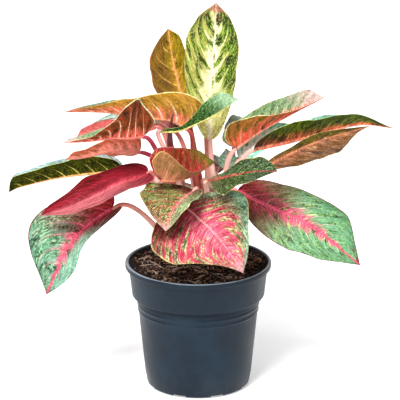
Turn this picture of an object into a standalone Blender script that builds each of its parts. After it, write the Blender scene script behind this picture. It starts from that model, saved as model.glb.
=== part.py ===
"""Potted Chinese evergreen (Aglaonema): a nursery pot, its soil, four canes and their leaves.

Units are metres, +Z is up, and the pot's foot stands on z = 0 with its axis on the Z axis.
A leaf's shape is given in millimetres: a rib that its blade follows, half widths along the rib
on each side, and the angles at which the halves rise. Left and right are those of someone who
walks from the leaf's base to its tip with the leaf's upper side up.
"""
from math import cos, pi, radians, sin

import bmesh
import bpy
import numpy as np
from mathutils import Matrix, Vector

MM = 0.001
GAP = 0.4                      # between neighbouring pieces, mm

# Pot, mm
LIP_RADIUS = 60.0
POT_HEIGHT = 105.0
WALL = 1.2
BAND_TOP_RADIUS = 57.0         # the plain band under the lip
BAND_FOOT_RADIUS = 54.6
BAND_FOOT_HEIGHT = 77.0
BODY_TOP_RADIUS = 50.2         # the tapered body under the ledge
BODY_TOP_HEIGHT = 74.4
BODY_FOOT_RADIUS = 43.6
BODY_FOOT_HEIGHT = 8.0
FOOT_RADIUS = 41.0
RING_HEIGHTS = (69.5, 64.5)    # two raised hoops on the body
RING_PROUD = 0.6
NOTCHES = 8                    # drain notches around the foot
NOTCH_SIZE = (9.0, 12.0, 3.6)  # radial, around and up
POT_STEPS = 36

# Soil and canes, mm
SOIL_HEIGHT = 100.5
SOIL_EDGE_INSET = 0.5          # the wall is that much narrower at the soil's level
SOIL_EDGE_DROP = 0.8
CANE_RING_SPACING = 11.0       # between the leaf scars on a cane
CANE_RING_SWELL = 1.06
CANE_STUB = 2.0                # the upright stretch out of the soil
CANES = {                      # where each cane leaves the soil, where it ends, and its radius
    "back": ((4, 22), (6, 12, 172), 4.4),
    "right": ((19, 19), (19, 4, 164), 4.2),
    "left": ((-16, 19), (-11, 3, 168), 4.2),
    "front": ((0, 8), (3, -9, 152), 4.2),
}
SPEAR_ROUTE = ((-11.5, 1, 170.4), (-22, -9, 192), (-26, -10, 208), (-20, -9, 234))
SPEAR_RADII = (2.0, 3.4, 2.8, 0.5)

# Leaves
BLADE_THICKNESS = 0.8          # mm
BLADE_CELLS = (10, 6)          # along and across
BASE_CROWDING = 1.3            # above 1, the cells are shorter near the base
END_HALF_WIDTH = 0.5           # of the blade at its two ends, mm
FOLD_EASE = 2.0                # half width under which a fold flattens out, mm
LOBE_REACH = 6.0               # how fast the base lobes come in and fade out
WAVES = 2.0                    # margin waves along a blade
ROUTE_STEPS = 200
STALK_FOOT_RADIUS = 2.3        # mm
STALK_TIP_RADIUS = 1.7
STALK_END_GAP = 1.0            # from the blade's first edge, mm
STALK_RUN_IN = 8.0             # how far before the blade a stalk takes the rib's direction
STALK_STEPS = 7
STATIONS = (0.0, 0.1, 0.3, 0.5, 0.7, 0.9, 1.0)   # where the half widths are given

COLOURS = {
    "pot": (0.035, 0.045, 0.06),
    "soil": (0.05, 0.025, 0.015),
    "cane": (0.45, 0.25, 0.18),
    "stalk": (0.75, 0.35, 0.32),
    "green": (0.12, 0.28, 0.10),
    "lime": (0.42, 0.50, 0.16),
    "pink": (0.75, 0.16, 0.20),
    "crimson": (0.45, 0.03, 0.07),
    "olive": (0.32, 0.22, 0.05),
    "salmon": (0.70, 0.26, 0.16),
    "maroon": (0.16, 0.03, 0.03),
    "teal": (0.22, 0.42, 0.33),
}


def leaf(rib, left, right, stalk, hue, **shape):
    """One leaf: stalk is (cane, height along it, compass angle of its foot, bend point)."""
    return dict(rib=rib, left=left, right=right, stalk=stalk, hue=hue, **shape)


LEAVES = {
    "top_tall": leaf(
        ((10, 12, 205), (10, 14, 228), (11, 21, 260), (14, 27, 289), (15, 29, 316)),
        (10, 18, 22.5, 24, 15), (11, 18.5, 22, 21, 12),
        ("back", 0.98, 345, (11, 11, 187)), "lime",
        heading=90, fold=(10, 14), curl=(10, 12), wave=0.8),
    "top_olive": leaf(
        ((-7, 26, 214), (-14, 32, 237), (-21, 40, 265), (-25, 44, 290)),
        (9, 15, 14, 12, 9), (9, 17, 22, 20, 9),
        ("back", 0.85, 120, (-3, 22, 194)), "olive",
        heading=-90, fold=(14, 14), curl=(10, 10), wave=0.6),
    "left_high": leaf(
        ((-8, -1, 217), (-21, 1, 224), (-43, 4, 226), (-76, 10, 229), (-109, 14, 228)),
        (29, 24, 16, 9, 4), (24, 20, 14, 9, 4),
        ("back", 0.9, 200, (-8, 4, 192)), "olive",
        fold=(82, 60), tip_fold=(70, 50), curl=(5, 10), lobe=8, wave=0.8),
    "left_folded": leaf(
        ((-43, -26, 219), (-55, -34, 220), (-68, -43, 223), (-86, -54, 224), (-106, -62, 225)),
        (25, 37, 17, 6, 3), (10, 12, 10, 8, 5),
        ("left", 0.955, 213, (-32, -14, 196)), "maroon",
        fold=(90, 60), tip_fold=(60, 20), curl=(-5, 10), lobe=12),
    "left_salmon": leaf(
        ((-47, -12, 202), (-67, -18, 206), (-87, -24, 203), (-106, -28, 201)),
        (15, 14.5, 11.5, 9, 7), (13, 15, 6, 4, 2),
        ("left", 0.83, 180, (-26, -3, 193)), "salmon",
        roll=50, fold=(20, 10), curl=(0, 10), wave=0.8),
    "left_red": leaf(
        ((-34, 6, 218), (-55, 2, 219), (-80, 0, 216), (-99, -2, 211)),
        (8, 10, 10, 8, 5), (6, 8, 9, 9, 7),
        ("left", 0.9, 140, (-24, 8, 200)), "crimson",
        roll=-25, fold=(15, 15), curl=(10, 10), wave=0.8),
    "left_teal": leaf(
        ((-33, 20, 216), (-52, 34, 217), (-71, 46, 214), (-87, 54, 207)),
        (8, 13, 13, 10, 5), (8, 13, 13, 10, 5),
        ("left", 0.8, 100, (-18, 14, 196)), "teal",
        roll=-5, fold=(10, 10), curl=(10, 10), wave=1.0),
    "left_long": leaf(
        ((-60, -2, 183), (-80, 0, 181), (-113, 3, 176), (-144, 4, 168), (-155, 4, 163)),
        (13, 17.5, 14, 13, 12), (13, 17, 15, 13, 12),
        ("left", 0.67, 145, (-34, -3, 182)), "green",
        fold=(75, 66), tip_fold=(70, 64), curl=(16, 14), wave=0.9),
    "left_crimson": leaf(
        ((-40, -12, 185), (-61, -24, 183), (-83, -38, 176), (-107, -46, 167), (-126, -50, 161)),
        (14, 15, 15, 13, 5), (10, 12, 15, 10, 6),
        ("left", 0.4, 220, (-36, -4, 166)), "crimson",
        roll=-30, fold=(10, 20), curl=(10, 10), lobe=4, wave=1.0),
    "left_hanging": leaf(
        ((-68, -16, 156), (-84, -24, 147), (-100, -34, 135), (-112, -42, 115), (-122, -46, 92)),
        (7, 9, 11, 15, 7), (16, 28, 37, 28, 9),
        ("left", 0.1, 255, (-51, 1, 160)), "green",
        heading=200, roll=-50, fold=(10, 10), curl=(10, -10), lobe=10, wave=1.2),
    "centre_cupped": leaf(
        ((-32, -38, 186), (-17, -34, 185), (-2, -24, 188), (12, -16, 195)),
        (27, 28, 26, 22, 15), (27, 18, 8, 5, 4),
        ("left", 0.62, 250, (-30, -16, 198)), "crimson",
        fold=(68, 85), tip_fold=(60, 20), curl=(10, 10), lobe=12, run_in=5, end_gap=1.9),
    "centre_mottled": leaf(
        ((-3, -34, 177), (-11, -44, 174), (-20, -56, 167), (-26, -66, 153)),
        (12, 15, 13, 9, 4), (23, 37, 36, 22, 8),
        ("front", 0.8, 255, (-2, -20, 177)), "green",
        heading=-110, fold=(15, -3), curl=(10, 10), lobe=2, wave=1.0, run_in=5),
    "front_pink": leaf(
        ((-15, -24, 163), (0, -44, 157), (18, -62, 144), (36, -72, 120)),
        (12, 28, 39, 25, 10), (32, 46, 42, 24, 6),
        ("front", 0.49, 235, (-11.5, -10.5, 155)), "pink",
        heading=-62, roll=38, fold=(5, 5), curl=(10, 10), lobe=6, wave=1.0),
    "front_green": leaf(
        ((6, -38, 185), (23, -50, 193), (43, -62, 201), (63, -70, 204)),
        (4, 9, 15, 16, 9), (4, 20, 30, 20, 5),
        ("front", 0.97, 330, (8, -24, 176)), "green",
        roll=25, fold=(5, 5), curl=(10, 10), wave=0.8, run_in=2),
    "right_low": leaf(
        ((31, -14, 170), (52, -26, 163), (90, -44, 150), (130, -54, 120)),
        (17, 23, 24, 26, 10), (11, 25, 29, 23, 8),
        ("right", 0.65, 275, (24, -12, 166)), "green",
        roll=42, fold=(2, 2), curl=(8, 8), wave=1.2),
    "right_high": leaf(
        ((31, 8, 199), (52, 18, 211), (79, 30, 223), (103, 38, 233)),
        (18, 18, 17, 15, 12), (25, 18, 9, 3, 2),
        ("right", 0.98, 60, (22, 9, 184)), "salmon",
        fold=(64, 78), tip_fold=(60, 60), curl=(12, 12), lobe=10, wave=0.6),
    "right_long": leaf(
        ((45, 0, 200), (71, 2, 205), (99, 5, 212), (132, 8, 219), (161, 10, 215)),
        (6, 11, 14.5, 10, 3), (13, 19, 16, 12.5, 4),
        ("right", 0.9, 345, (30, 0, 184)), "olive",
        fold=(52, 74), tip_fold=(60, 70), curl=(5, 5), wave=0.6),
    "right_brown": leaf(
        ((53, -8, 187), (74, -16, 202), (102, -26, 218), (137, -34, 231)),
        (12, 20, 26, 20, 4), (4, 5, 7, 5, 2),
        ("right", 0.7, 315, (34, -6, 170)), "salmon",
        roll=-60, fold=(10, 10), curl=(10, 10), wave=0.8),
    "right_teal": leaf(
        ((34, 13, 188), (45, 19, 198), (59, 26, 206), (77, 34, 211)),
        (8, 12, 12, 9, 4), (8, 12, 12, 9, 4),
        ("right", 0.8, 20, (29, 8, 174)), "teal",
        roll=30, fold=(10, 10), curl=(10, 10), wave=0.8),
    "right_small": leaf(
        ((24, 20, 176), (24, 22, 185), (23, 24, 194)),
        (4, 7, 8, 6, 2), (4, 7, 8, 6, 2),
        ("right", 0.75, 75, (23, 17, 172)), "teal",
        heading=90, fold=(10, 10), curl=(10, 10)),
    "crossing": leaf(
        ((-31, -14, 220.5), (-17, -16, 221.5), (-4, -18, 227), (13, -20, 236.5), (32, -20, 249)),
        (3, 4, 8, 13, 12), (3, 5, 10, 16, 17),
        ("left", 0.62, 295, (-10, -27, 186)), "green",
        fold=(52, 72), tip_fold=(50, 62), curl=(10, 10), wave=0.6, end_gap=1.5),
    "back_tall": leaf(
        ((6, 38, 220), (9, 64, 245), (11, 88, 251), (13, 122, 224)),
        (15, 23, 24, 16, 6), (15, 23, 24, 16, 6),
        ("back", 0.8, 70, (8, 26, 190)), "green",
        heading=90, fold=(15, 15), curl=(10, 10), wave=1.0),
    "back_left": leaf(
        ((-18, 28, 206), (-34, 54, 208), (-50, 84, 200), (-64, 108, 187)),
        (12, 19, 20, 14, 5), (12, 19, 20, 14, 5),
        ("back", 0.72, 150, (-9, 18, 192)), "green",
        fold=(10, 10), curl=(10, 10), wave=1.0),
    "back_right": leaf(
        ((30, 33, 194), (40, 58, 201), (50, 86, 197), (60, 112, 183)),
        (12, 18, 19, 13, 5), (12, 18, 19, 13, 5),
        ("right", 0.5, 60, (32, 28, 168)), "green",
        fold=(10, 10), curl=(10, 10), wave=1.0),
    "back_side": leaf(
        ((15, 26, 172), (21, 52, 174), (32, 80, 166), (44, 108, 149)),
        (11, 17, 18, 13, 5), (11, 17, 18, 13, 5),
        ("back", 0.5, 20, (14, 20, 164)), "green",
        roll=-10, fold=(10, 10), curl=(10, 10), wave=1.0),
    "back_low": leaf(
        ((-3, 32, 158), (0, 54, 152), (4, 84, 136), (8, 112, 108)),
        (12, 20, 21, 15, 5), (12, 20, 21, 15, 5),
        ("back", 0.45, 100, (0, 28, 154)), "green",
        fold=(10, 10), curl=(10, 10), wave=1.0),
}


# Scene helpers

def clear_scene():
    for old in list(bpy.data.objects):
        bpy.data.objects.remove(old, do_unlink=True)


def new_collection(name):
    made = bpy.data.collections.new(name)
    bpy.context.scene.collection.children.link(made)
    return made


def finish(name, hue, roughness):
    made = bpy.data.materials.new(f"{name}_finish")
    made.use_nodes = True
    shader = made.node_tree.nodes["Principled BSDF"]
    shader.inputs["Base Color"].default_value = (*COLOURS[hue], 1.0)
    shader.inputs["Roughness"].default_value = roughness
    shader.inputs["Metallic"].default_value = 0.0
    made.diffuse_color = (*COLOURS[hue], 1.0)
    return made


def add_object(name, data, collection, hue, roughness=0.45):
    made = bpy.data.objects.new(name, data)
    collection.objects.link(made)
    data.materials.append(finish(name, hue, roughness))
    return made


# Pot and soil

def turned(name, outline, steps, collection, hue, roughness):
    """An outline of (radius, height) in mm from axis to axis, turned about the Z axis."""
    mesh = bpy.data.meshes.new(name)
    points = [(radius * MM, 0.0, height * MM) for radius, height in outline]
    edges = [(i, i + 1) for i in range(len(points) - 1)]
    mesh.from_pydata(points, edges, [])
    made = add_object(name, mesh, collection, hue, roughness)
    turn = made.modifiers.new("turn", "SCREW")
    turn.axis = "Z"
    turn.steps = steps
    turn.render_steps = steps
    turn.use_merge_vertices = True
    turn.merge_threshold = 0.0001
    turn.use_smooth_shade = True
    return made


def body_radius(height):
    """Outer radius of the pot's tapered body, mm."""
    share = (height - BODY_FOOT_HEIGHT) / (BODY_TOP_HEIGHT - BODY_FOOT_HEIGHT)
    return BODY_FOOT_RADIUS + share * (BODY_TOP_RADIUS - BODY_FOOT_RADIUS)


def inner_wall(clearance=0.0):
    """The pot's inside from the base's edge up to the lip, set in by a clearance."""
    inset = WALL + clearance
    return [
        (FOOT_RADIUS - 0.8 - clearance, inset),
        (FOOT_RADIUS + 0.4 - clearance, inset + 0.8),
        (BODY_FOOT_RADIUS - inset, BODY_FOOT_HEIGHT),
        (BODY_TOP_RADIUS - inset, BODY_TOP_HEIGHT + 0.6 + clearance),
        (BAND_FOOT_RADIUS - 0.6 - inset, BAND_FOOT_HEIGHT + 0.6 + clearance),
        (BAND_FOOT_RADIUS - inset, BAND_FOOT_HEIGHT + 1.6 + clearance),
        (BAND_TOP_RADIUS - inset, POT_HEIGHT - 3.6),
    ]


def lip():
    """The rolled bead at the rim, from its inner edge over the top to under it."""
    return [
        (LIP_RADIUS - 2.6, POT_HEIGHT - 0.8),
        (LIP_RADIUS - 1.8, POT_HEIGHT),
        (LIP_RADIUS - 0.6, POT_HEIGHT),
        (LIP_RADIUS, POT_HEIGHT - 0.8),
        (LIP_RADIUS, POT_HEIGHT - 2.6),
        (LIP_RADIUS - 0.7, POT_HEIGHT - 3.3),
    ]


def hoop(height):
    """A raised ring around the body."""
    return [
        (body_radius(height + 1.2), height + 1.2),
        (body_radius(height) + RING_PROUD, height + 0.4),
        (body_radius(height) + RING_PROUD, height - 0.4),
        (body_radius(height - 1.2), height - 1.2),
    ]


def outer_wall():
    """The pot's outside from under the lip down to the centre of the base."""
    band = [
        (BAND_TOP_RADIUS, POT_HEIGHT - 3.6),
        (BAND_FOOT_RADIUS, BAND_FOOT_HEIGHT + 0.8),
        (BAND_FOOT_RADIUS - 0.5, BAND_FOOT_HEIGHT - 0.3),
        (BAND_FOOT_RADIUS - 1.6, BAND_FOOT_HEIGHT - 0.9),
        (BODY_TOP_RADIUS + 0.6, BODY_TOP_HEIGHT + 0.9),
        (BODY_TOP_RADIUS, BODY_TOP_HEIGHT),
    ]
    foot = [
        (BODY_FOOT_RADIUS, BODY_FOOT_HEIGHT),
        (BODY_FOOT_RADIUS - 0.5, 4.0),
        (FOOT_RADIUS + 1.2, 1.2),
        (FOOT_RADIUS, 0.0),
        (0.0, 0.0),
    ]
    hoops = [point for height in RING_HEIGHTS for point in hoop(height)]
    return band + hoops + foot


def notch_cutter(collection):
    """Eight blocks that cut the drain notches out of the foot's edge."""
    work = bmesh.new()
    for index in range(NOTCHES):
        turn = Matrix.Rotation(2 * pi * (index + 0.5) / NOTCHES, 4, "Z")
        block = bmesh.ops.create_cube(work, size=1.0)["verts"]
        bmesh.ops.scale(work, vec=Vector(NOTCH_SIZE) * MM, verts=block)
        bmesh.ops.translate(work, vec=(BODY_FOOT_RADIUS * MM, 0, 0), verts=block)
        bmesh.ops.rotate(work, cent=(0, 0, 0), matrix=turn, verts=block)
    mesh = bpy.data.meshes.new("drain_notches")
    work.to_mesh(mesh)
    work.free()
    cutter = bpy.data.objects.new("drain_notches", mesh)
    collection.objects.link(cutter)
    cutter.hide_render = True
    cutter.display_type = "WIRE"
    return cutter


def build_pot(collection, cutters):
    outline = [(0.0, WALL)] + inner_wall() + lip() + outer_wall()
    pot = turned("pot", outline, POT_STEPS, collection, "pot", 0.4)
    cut = pot.modifiers.new("drain_notches", "BOOLEAN")
    cut.operation = "DIFFERENCE"
    cut.solver = "EXACT"
    cut.object = notch_cutter(cutters)


def build_soil(collection):
    side = inner_wall(GAP)[::-1]
    edge = BAND_TOP_RADIUS - WALL - GAP - SOIL_EDGE_INSET
    top = [(0.0, SOIL_HEIGHT), (0.6 * edge, SOIL_HEIGHT), (edge, SOIL_HEIGHT - SOIL_EDGE_DROP)]
    turned("soil", top + side[1:] + [(0.0, WALL + GAP)], POT_STEPS, collection, "soil", 0.9)


# Canes, stalks and the rolled new leaf

def tube(name, points, radii, collection, hue):
    """A capped tube through points in mm, with its radius in mm at each."""
    curve = bpy.data.curves.new(name, "CURVE")
    curve.dimensions = "3D"
    curve.bevel_depth = MM
    curve.bevel_resolution = 2
    curve.use_fill_caps = True
    spline = curve.splines.new("POLY")
    spline.points.add(len(points) - 1)
    for knot, place, radius in zip(spline.points, points, radii):
        knot.co = (*[value * MM for value in place], 1.0)
        knot.radius = radius
    spline.use_smooth = True
    return add_object(name, curve, collection, hue)


def bezier(controls, steps):
    """Points in mm along the Bezier curve of the given control points."""
    points = []
    for index in range(steps + 1):
        share = index / steps
        level = [Vector(control) for control in controls]
        while len(level) > 1:
            level = [a.lerp(b, share) for a, b in zip(level, level[1:])]
        points.append(level[0])
    return points


def cane_point(cane, share):
    foot, top, _ = CANES[cane]
    return Vector((*foot, SOIL_HEIGHT + GAP + CANE_STUB)).lerp(Vector(top), share)


def build_cane(cane, collection):
    """A short upright stem with a ring at each old leaf scar, and a rounded top."""
    radius = CANES[cane][2]
    length = (cane_point(cane, 1.0) - cane_point(cane, 0.0)).length
    rings = int(length / CANE_RING_SPACING)
    points = [cane_point(cane, 0.0) - Vector((0, 0, CANE_STUB))]
    radii = [radius]
    shares = []
    for ring in range(rings):
        shares += [ring / rings, (ring + 0.85) / rings]
        radii += [radius * CANE_RING_SWELL, radius]
    shares += [0.97, 1.0]
    radii += [radius * 0.9, radius * 0.4]
    points += [cane_point(cane, share) for share in shares]
    tube(f"cane_{cane}", points, radii, collection, "cane")


def build_spear(collection):
    """The newest leaf, still rolled: a spindle that thins to a point."""
    steps = 2 * STALK_STEPS
    stations = np.linspace(0, 1, len(SPEAR_RADII))
    radii = np.interp(np.linspace(0, 1, steps + 1), stations, SPEAR_RADII)
    tube("spear", bezier(SPEAR_ROUTE, steps), radii, collection, "maroon")


def build_stalk(name, spec, collection):
    """A leaf stalk, from beside its cane to just short of its blade."""
    cane, share, compass, bend = spec["stalk"]
    outward = Vector((cos(radians(compass)), sin(radians(compass)), 0.0))
    reach = CANES[cane][2] + STALK_FOOT_RADIUS + 1.2 * GAP
    base = Vector(spec["rib"][0])
    along = (Vector(spec["rib"][1]) - base).normalized()
    end = base - along * spec.get("end_gap", STALK_END_GAP)
    before = end - along * spec.get("run_in", STALK_RUN_IN)
    points = bezier((cane_point(cane, share) + outward * reach, bend, before, end), STALK_STEPS)
    fall = (STALK_FOOT_RADIUS - STALK_TIP_RADIUS) / STALK_STEPS
    radii = [STALK_FOOT_RADIUS - fall * index for index in range(STALK_STEPS + 1)]
    tube(f"stalk_{name}", points, radii, collection, "stalk")


# Blades

def unit(vectors):
    return vectors / np.linalg.norm(vectors, axis=-1, keepdims=True)


def rib_route(knots):
    """A smooth route through the knots: evenly spaced points and their tangents."""
    knots = np.array(knots, float)
    before = 2 * knots[0] - knots[1]
    after = 2 * knots[-1] - knots[-2]
    padded = np.vstack([before, knots, after])
    t = np.linspace(0, 1, ROUTE_STEPS // 5)[:, None]
    pieces = []
    for a, b, c, d in zip(padded, padded[1:], padded[2:], padded[3:]):
        pieces.append(b + 0.5 * t * (c - a + t * (2 * a - 5 * b + 4 * c - d + t * (3 * (b - c) + d - a))))
    rough = np.vstack([pieces[0]] + [piece[1:] for piece in pieces[1:]])
    run = np.concatenate([[0], np.cumsum(np.linalg.norm(np.diff(rough, axis=0), axis=1))])
    even = np.linspace(0, run[-1], ROUTE_STEPS)
    points = np.stack([np.interp(even, run, rough[:, axis]) for axis in range(3)], axis=1)
    return points, unit(np.gradient(points, axis=0))


def half_width(along, widths):
    """Half width in mm, a monotone cubic through the stations that is round at the base."""
    x = np.sqrt(STATIONS)
    y = np.array([0.0, *widths, 0.0])
    step = np.diff(x)
    slope = np.diff(y) / step
    tangent = np.concatenate([slope[:1], np.zeros(len(x) - 2), slope[-1:]])
    for i in range(1, len(x) - 1):
        if slope[i - 1] * slope[i] > 0:
            first = 2 * step[i] + step[i - 1]
            second = step[i] + 2 * step[i - 1]
            tangent[i] = (first + second) / (first / slope[i - 1] + second / slope[i])
    u = np.sqrt(along)
    i = np.clip(np.searchsorted(x, u, side="right") - 1, 0, len(x) - 2)
    t = (u - x[i]) / step[i]
    rise = (t ** 3 - 2 * t ** 2 + t) * tangent[i] + (t ** 3 - t ** 2) * tangent[i + 1]
    return y[i] + (3 * t ** 2 - 2 * t ** 3) * (y[i + 1] - y[i]) + step[i] * rise


def blade_points(spec, along, across):
    """Surface points in mm for matching arrays: along 0 to 1, across -1 (right) to 1 (left)."""
    route, tangents = rib_route(spec["rib"])
    places = along * (ROUTE_STEPS - 1)
    steps = np.arange(ROUTE_STEPS)
    centre = np.stack([np.interp(places, steps, route[:, axis]) for axis in range(3)], axis=1)
    ahead = unit(np.stack([np.interp(places, steps, tangents[:, axis]) for axis in range(3)], axis=1))
    run = route[-1] - route[0]
    heading = radians(spec["heading"]) if "heading" in spec else np.arctan2(run[1], run[0])
    level_side = np.array([-np.sin(heading), np.cos(heading), 0.0])
    side = unit(level_side - (ahead @ level_side)[:, None] * ahead)
    up = np.cross(ahead, side)
    roll = radians(spec.get("roll", 0))
    side, up = side * cos(roll) + up * sin(roll), up * cos(roll) - side * sin(roll)

    left = across > 0
    out = np.abs(across)
    width = np.where(left, half_width(along, spec["left"]), half_width(along, spec["right"]))
    width = np.maximum(width, END_HALF_WIDTH)
    fold, tip_fold = spec["fold"], spec.get("tip_fold", spec["fold"])
    base_angle = np.where(left, fold[0], fold[1])
    tip_angle = np.where(left, tip_fold[0], tip_fold[1])
    angle = np.radians(base_angle + (tip_angle - base_angle) * along) * width / (width + FOLD_EASE)
    curl = np.radians(np.where(left, *spec["curl"])) + 1e-4
    level = width * (np.sin(angle + curl * out) - np.sin(angle)) / curl
    raised = width * (np.cos(angle) - np.cos(angle + curl * out)) / curl
    swell = np.sqrt(np.sin(pi * along)) * (1 - along ** 3)
    phase = 2 * pi * (WAVES * along + np.where(left, 0.25, 0.0))
    raised += spec.get("wave", 0.0) * out ** 2 * swell * np.sin(phase)
    back = spec.get("lobe", 0.0) * out ** 2 * (1 - along) ** LOBE_REACH
    back *= np.minimum(1.0, LOBE_REACH * np.sqrt(along))
    level = np.where(left, level, -level)
    return centre + level[:, None] * side + raised[:, None] * up - back[:, None] * ahead


def build_blade(name, spec, collection):
    """A leaf blade: a grid laid along the rib and given its thickness."""
    work = bmesh.new()
    bmesh.ops.create_grid(work, x_segments=BLADE_CELLS[0], y_segments=BLADE_CELLS[1], size=1.0)
    flat = np.array([vert.co[:] for vert in work.verts])
    along = np.clip((flat[:, 0] + 1) / 2, 0, 1) ** BASE_CROWDING
    for vert, place in zip(work.verts, blade_points(spec, along, flat[:, 1])):
        vert.co = Vector(place) * MM
    for face in work.faces:
        face.smooth = True
    mesh = bpy.data.meshes.new(f"leaf_{name}")
    work.to_mesh(mesh)
    work.free()
    blade = add_object(f"leaf_{name}", mesh, collection, spec["hue"])
    thicken = blade.modifiers.new("thickness", "SOLIDIFY")
    thicken.thickness = BLADE_THICKNESS * MM
    thicken.offset = 0.0


def main():
    clear_scene()
    parts = new_collection("potted_chinese_evergreen")
    cutters = new_collection("cutters")
    build_pot(parts, cutters)
    build_soil(parts)
    for cane in CANES:
        build_cane(cane, parts)
    build_spear(parts)
    for name, spec in LEAVES.items():
        build_stalk(name, spec, parts)
        build_blade(name, spec, parts)


main()
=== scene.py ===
"""Looks of the potted Chinese evergreen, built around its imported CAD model.

Leaves are given in millimetres, as in the CAD: a rib that the blade follows, half widths along it
on each side, and the angles at which the halves rise. Blades and the spear are centred on the boxes
of their CAD nodes. Everything else is built in its place.
"""

from math import cos, pi, radians, sin

import bmesh
import bpy
import numpy as np
from mathutils import Matrix, Vector, noise


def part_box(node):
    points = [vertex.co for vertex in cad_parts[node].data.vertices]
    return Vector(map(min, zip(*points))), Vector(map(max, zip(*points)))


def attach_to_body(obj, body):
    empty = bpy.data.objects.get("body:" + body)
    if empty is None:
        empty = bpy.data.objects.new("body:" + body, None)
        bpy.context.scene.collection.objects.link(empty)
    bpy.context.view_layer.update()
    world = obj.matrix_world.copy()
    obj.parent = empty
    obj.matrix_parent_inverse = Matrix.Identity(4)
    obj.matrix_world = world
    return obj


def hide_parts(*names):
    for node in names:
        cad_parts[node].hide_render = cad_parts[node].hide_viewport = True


MM = 0.001
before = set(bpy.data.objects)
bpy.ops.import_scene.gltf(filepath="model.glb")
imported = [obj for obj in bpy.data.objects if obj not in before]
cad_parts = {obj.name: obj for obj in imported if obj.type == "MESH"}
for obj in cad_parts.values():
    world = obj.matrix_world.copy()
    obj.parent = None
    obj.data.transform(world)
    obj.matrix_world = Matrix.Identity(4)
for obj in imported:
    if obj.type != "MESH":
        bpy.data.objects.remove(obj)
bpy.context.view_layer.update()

# Blades
BLADE_THICKNESS = 0.5          # mm
BLADE_ROW = 1.2                # from row to row, mm
BLADE_ROWS = (48, 110)         # fewest and most
BLADE_COLUMNS = 45
NOISE_STEP = 40.0              # from leaf to leaf, so that no two share their mottles
BASE_CROWDING = 1.3            # above 1, the rows are closer near the base
RIB_CROWDING = 1.35            # above 1, the columns are closer near the midrib
END_HALF_WIDTH = 0.35          # of the blade at its two ends, mm
FOLD_EASE = 2.0                # half width under which a fold flattens out, mm
LOBE_REACH = 6.0               # how fast the base lobes come in and fade out
WAVES = 2.0                    # margin waves along a blade
FLUTTER = ((0.9, 2.6), (0.5, 4.7), (0.2, 9.3))   # finer margin waves: height in mm, and how many
FLUTTER_SHIFT = (0.3, 0.37)    # of these waves along the blade, from half to half and leaf to leaf
FLUTTER_WIDTH = 18.0           # half width at which they reach their full height, mm
MARGIN_THINNING = 0.75         # how much of its thickness a blade loses by the margin
VEIN_SWEEP = 1.6               # above 1, side veins turn towards the tip near the margin
QUILTING = 0.05                # dip of the blade at a side vein, as a share of their spacing
GROOVE = (0.55, 0.9)           # over the midrib: depth and half width, mm
KEEL = (1.1, 1.1)              # under the midrib: height and half width, mm
KEEL_FOOT = (0.25, 2.4)        # the keel's low wide foot
ALMOST_NONE = 1e-4             # added to a curl, so that a curl of 0 can be divided by
ROUTE_STEPS = 200
STATIONS = (0.0, 0.1, 0.3, 0.5, 0.7, 0.9, 1.0)   # where the half widths are given

# Pot, mm
LIP_RADIUS = 60.0
POT_HEIGHT = 105.0
LIP_FOOT_HEIGHT = 101.0        # the lip's under side
LIP_HIGHLIGHT_DEPTH = 0.7                 # how far down from the top the lip is painted with a pale highlight
WALL = 1.2
BAND_TOP_RADIUS = 57.0         # the plain band under the lip
BAND_FOOT_RADIUS = 54.6
BAND_FOOT_HEIGHT = 77.0
BODY_TOP_RADIUS = 50.2         # the tapered body under the ledge
BODY_TOP_HEIGHT = 74.4
BODY_FOOT_RADIUS = 43.6
BODY_FOOT_HEIGHT = 8.0
FOOT_RADIUS = 41.0
FLOOR_CENTRE = 20.0            # a ring of points on the pot's flat floor
RING_HEIGHTS = (69.5, 64.5)    # two raised hoops on the body
RING_PROUD = 0.6
NOTCHES = 8                    # drain notches around the foot
NOTCH_SIZE = (9.0, 12.0, 3.6)  # radial, around and up
POT_STEPS = 144                # around the pot

# Soil and canes, mm
SOIL_HEIGHT = 100.5
SOIL_STEPS = 168               # around the soil
SOIL_ROWS = 64                 # from its middle to the pot
SOIL_RIM_RISE = 4.2            # of the surface by the pot's wall
SOIL_LUMPS = (                 # layers of unevenness: height, fineness and shift
    (2.2, 0.07, (3, 1)), (1.5, 0.2, (0, 0)), (0.9, 0.55, (0, 0)), (0.5, 1.3, (0, 0)))
SOIL_MOUNDS = (                # two low rises: height, spread and middle
    (3.0, 22.3607, (-34, -8)), (1.6, 20, (36, -2)))
LITTER_SEED = 11
CRUMB_SIZES = (0.45, 1.95)     # smallest and largest
FIBRE_LENGTHS = (4, 15)
FIBRE_RADII = (0.12, 0.4)
FIBRE_RINGS = 9
CHIP_SIZES = ((2.5, 7.5), (1.0, 2.6), (0.3, 0.8))   # long, wide and thick
CHIP_RINGS = 7
CANE_IN_SOIL = 4.0             # how far a cane goes down into the soil
CANE_RING_SPACING = 11.0       # between the leaf scars on a cane
CANE_RING_TILT = 0.12          # of a ring, as a share of their spacing
CANE_RIDGE = ((0.42, 0.0, 0.5), (-0.22, 1.3, 0.6))   # a ridge, then a groove: height, place, spread
CANE_ROWS_PER_MM = 2.2
CANE_SIDES = 32
CANES = {                      # where each cane leaves the soil, where it ends, and its radius
    "back": ((4, 22), (6, 12, 172), 4.4),
    "right": ((19, 19), (19, 4, 164), 4.2),
    "left": ((-16, 19), (-11, 3, 168), 4.2),
    "front": ((0, 8), (3, -9, 152), 4.2),
}
SPEAR_ROUTE = ((-11.5, 1, 170.4), (-22, -9, 192), (-26, -10, 208), (-20, -9, 234))
SPEAR_RADII = (2.0, 3.4, 2.8, 0.5)
SPEAR_STEPS = 90
SPEAR_SIDES = 40

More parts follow.
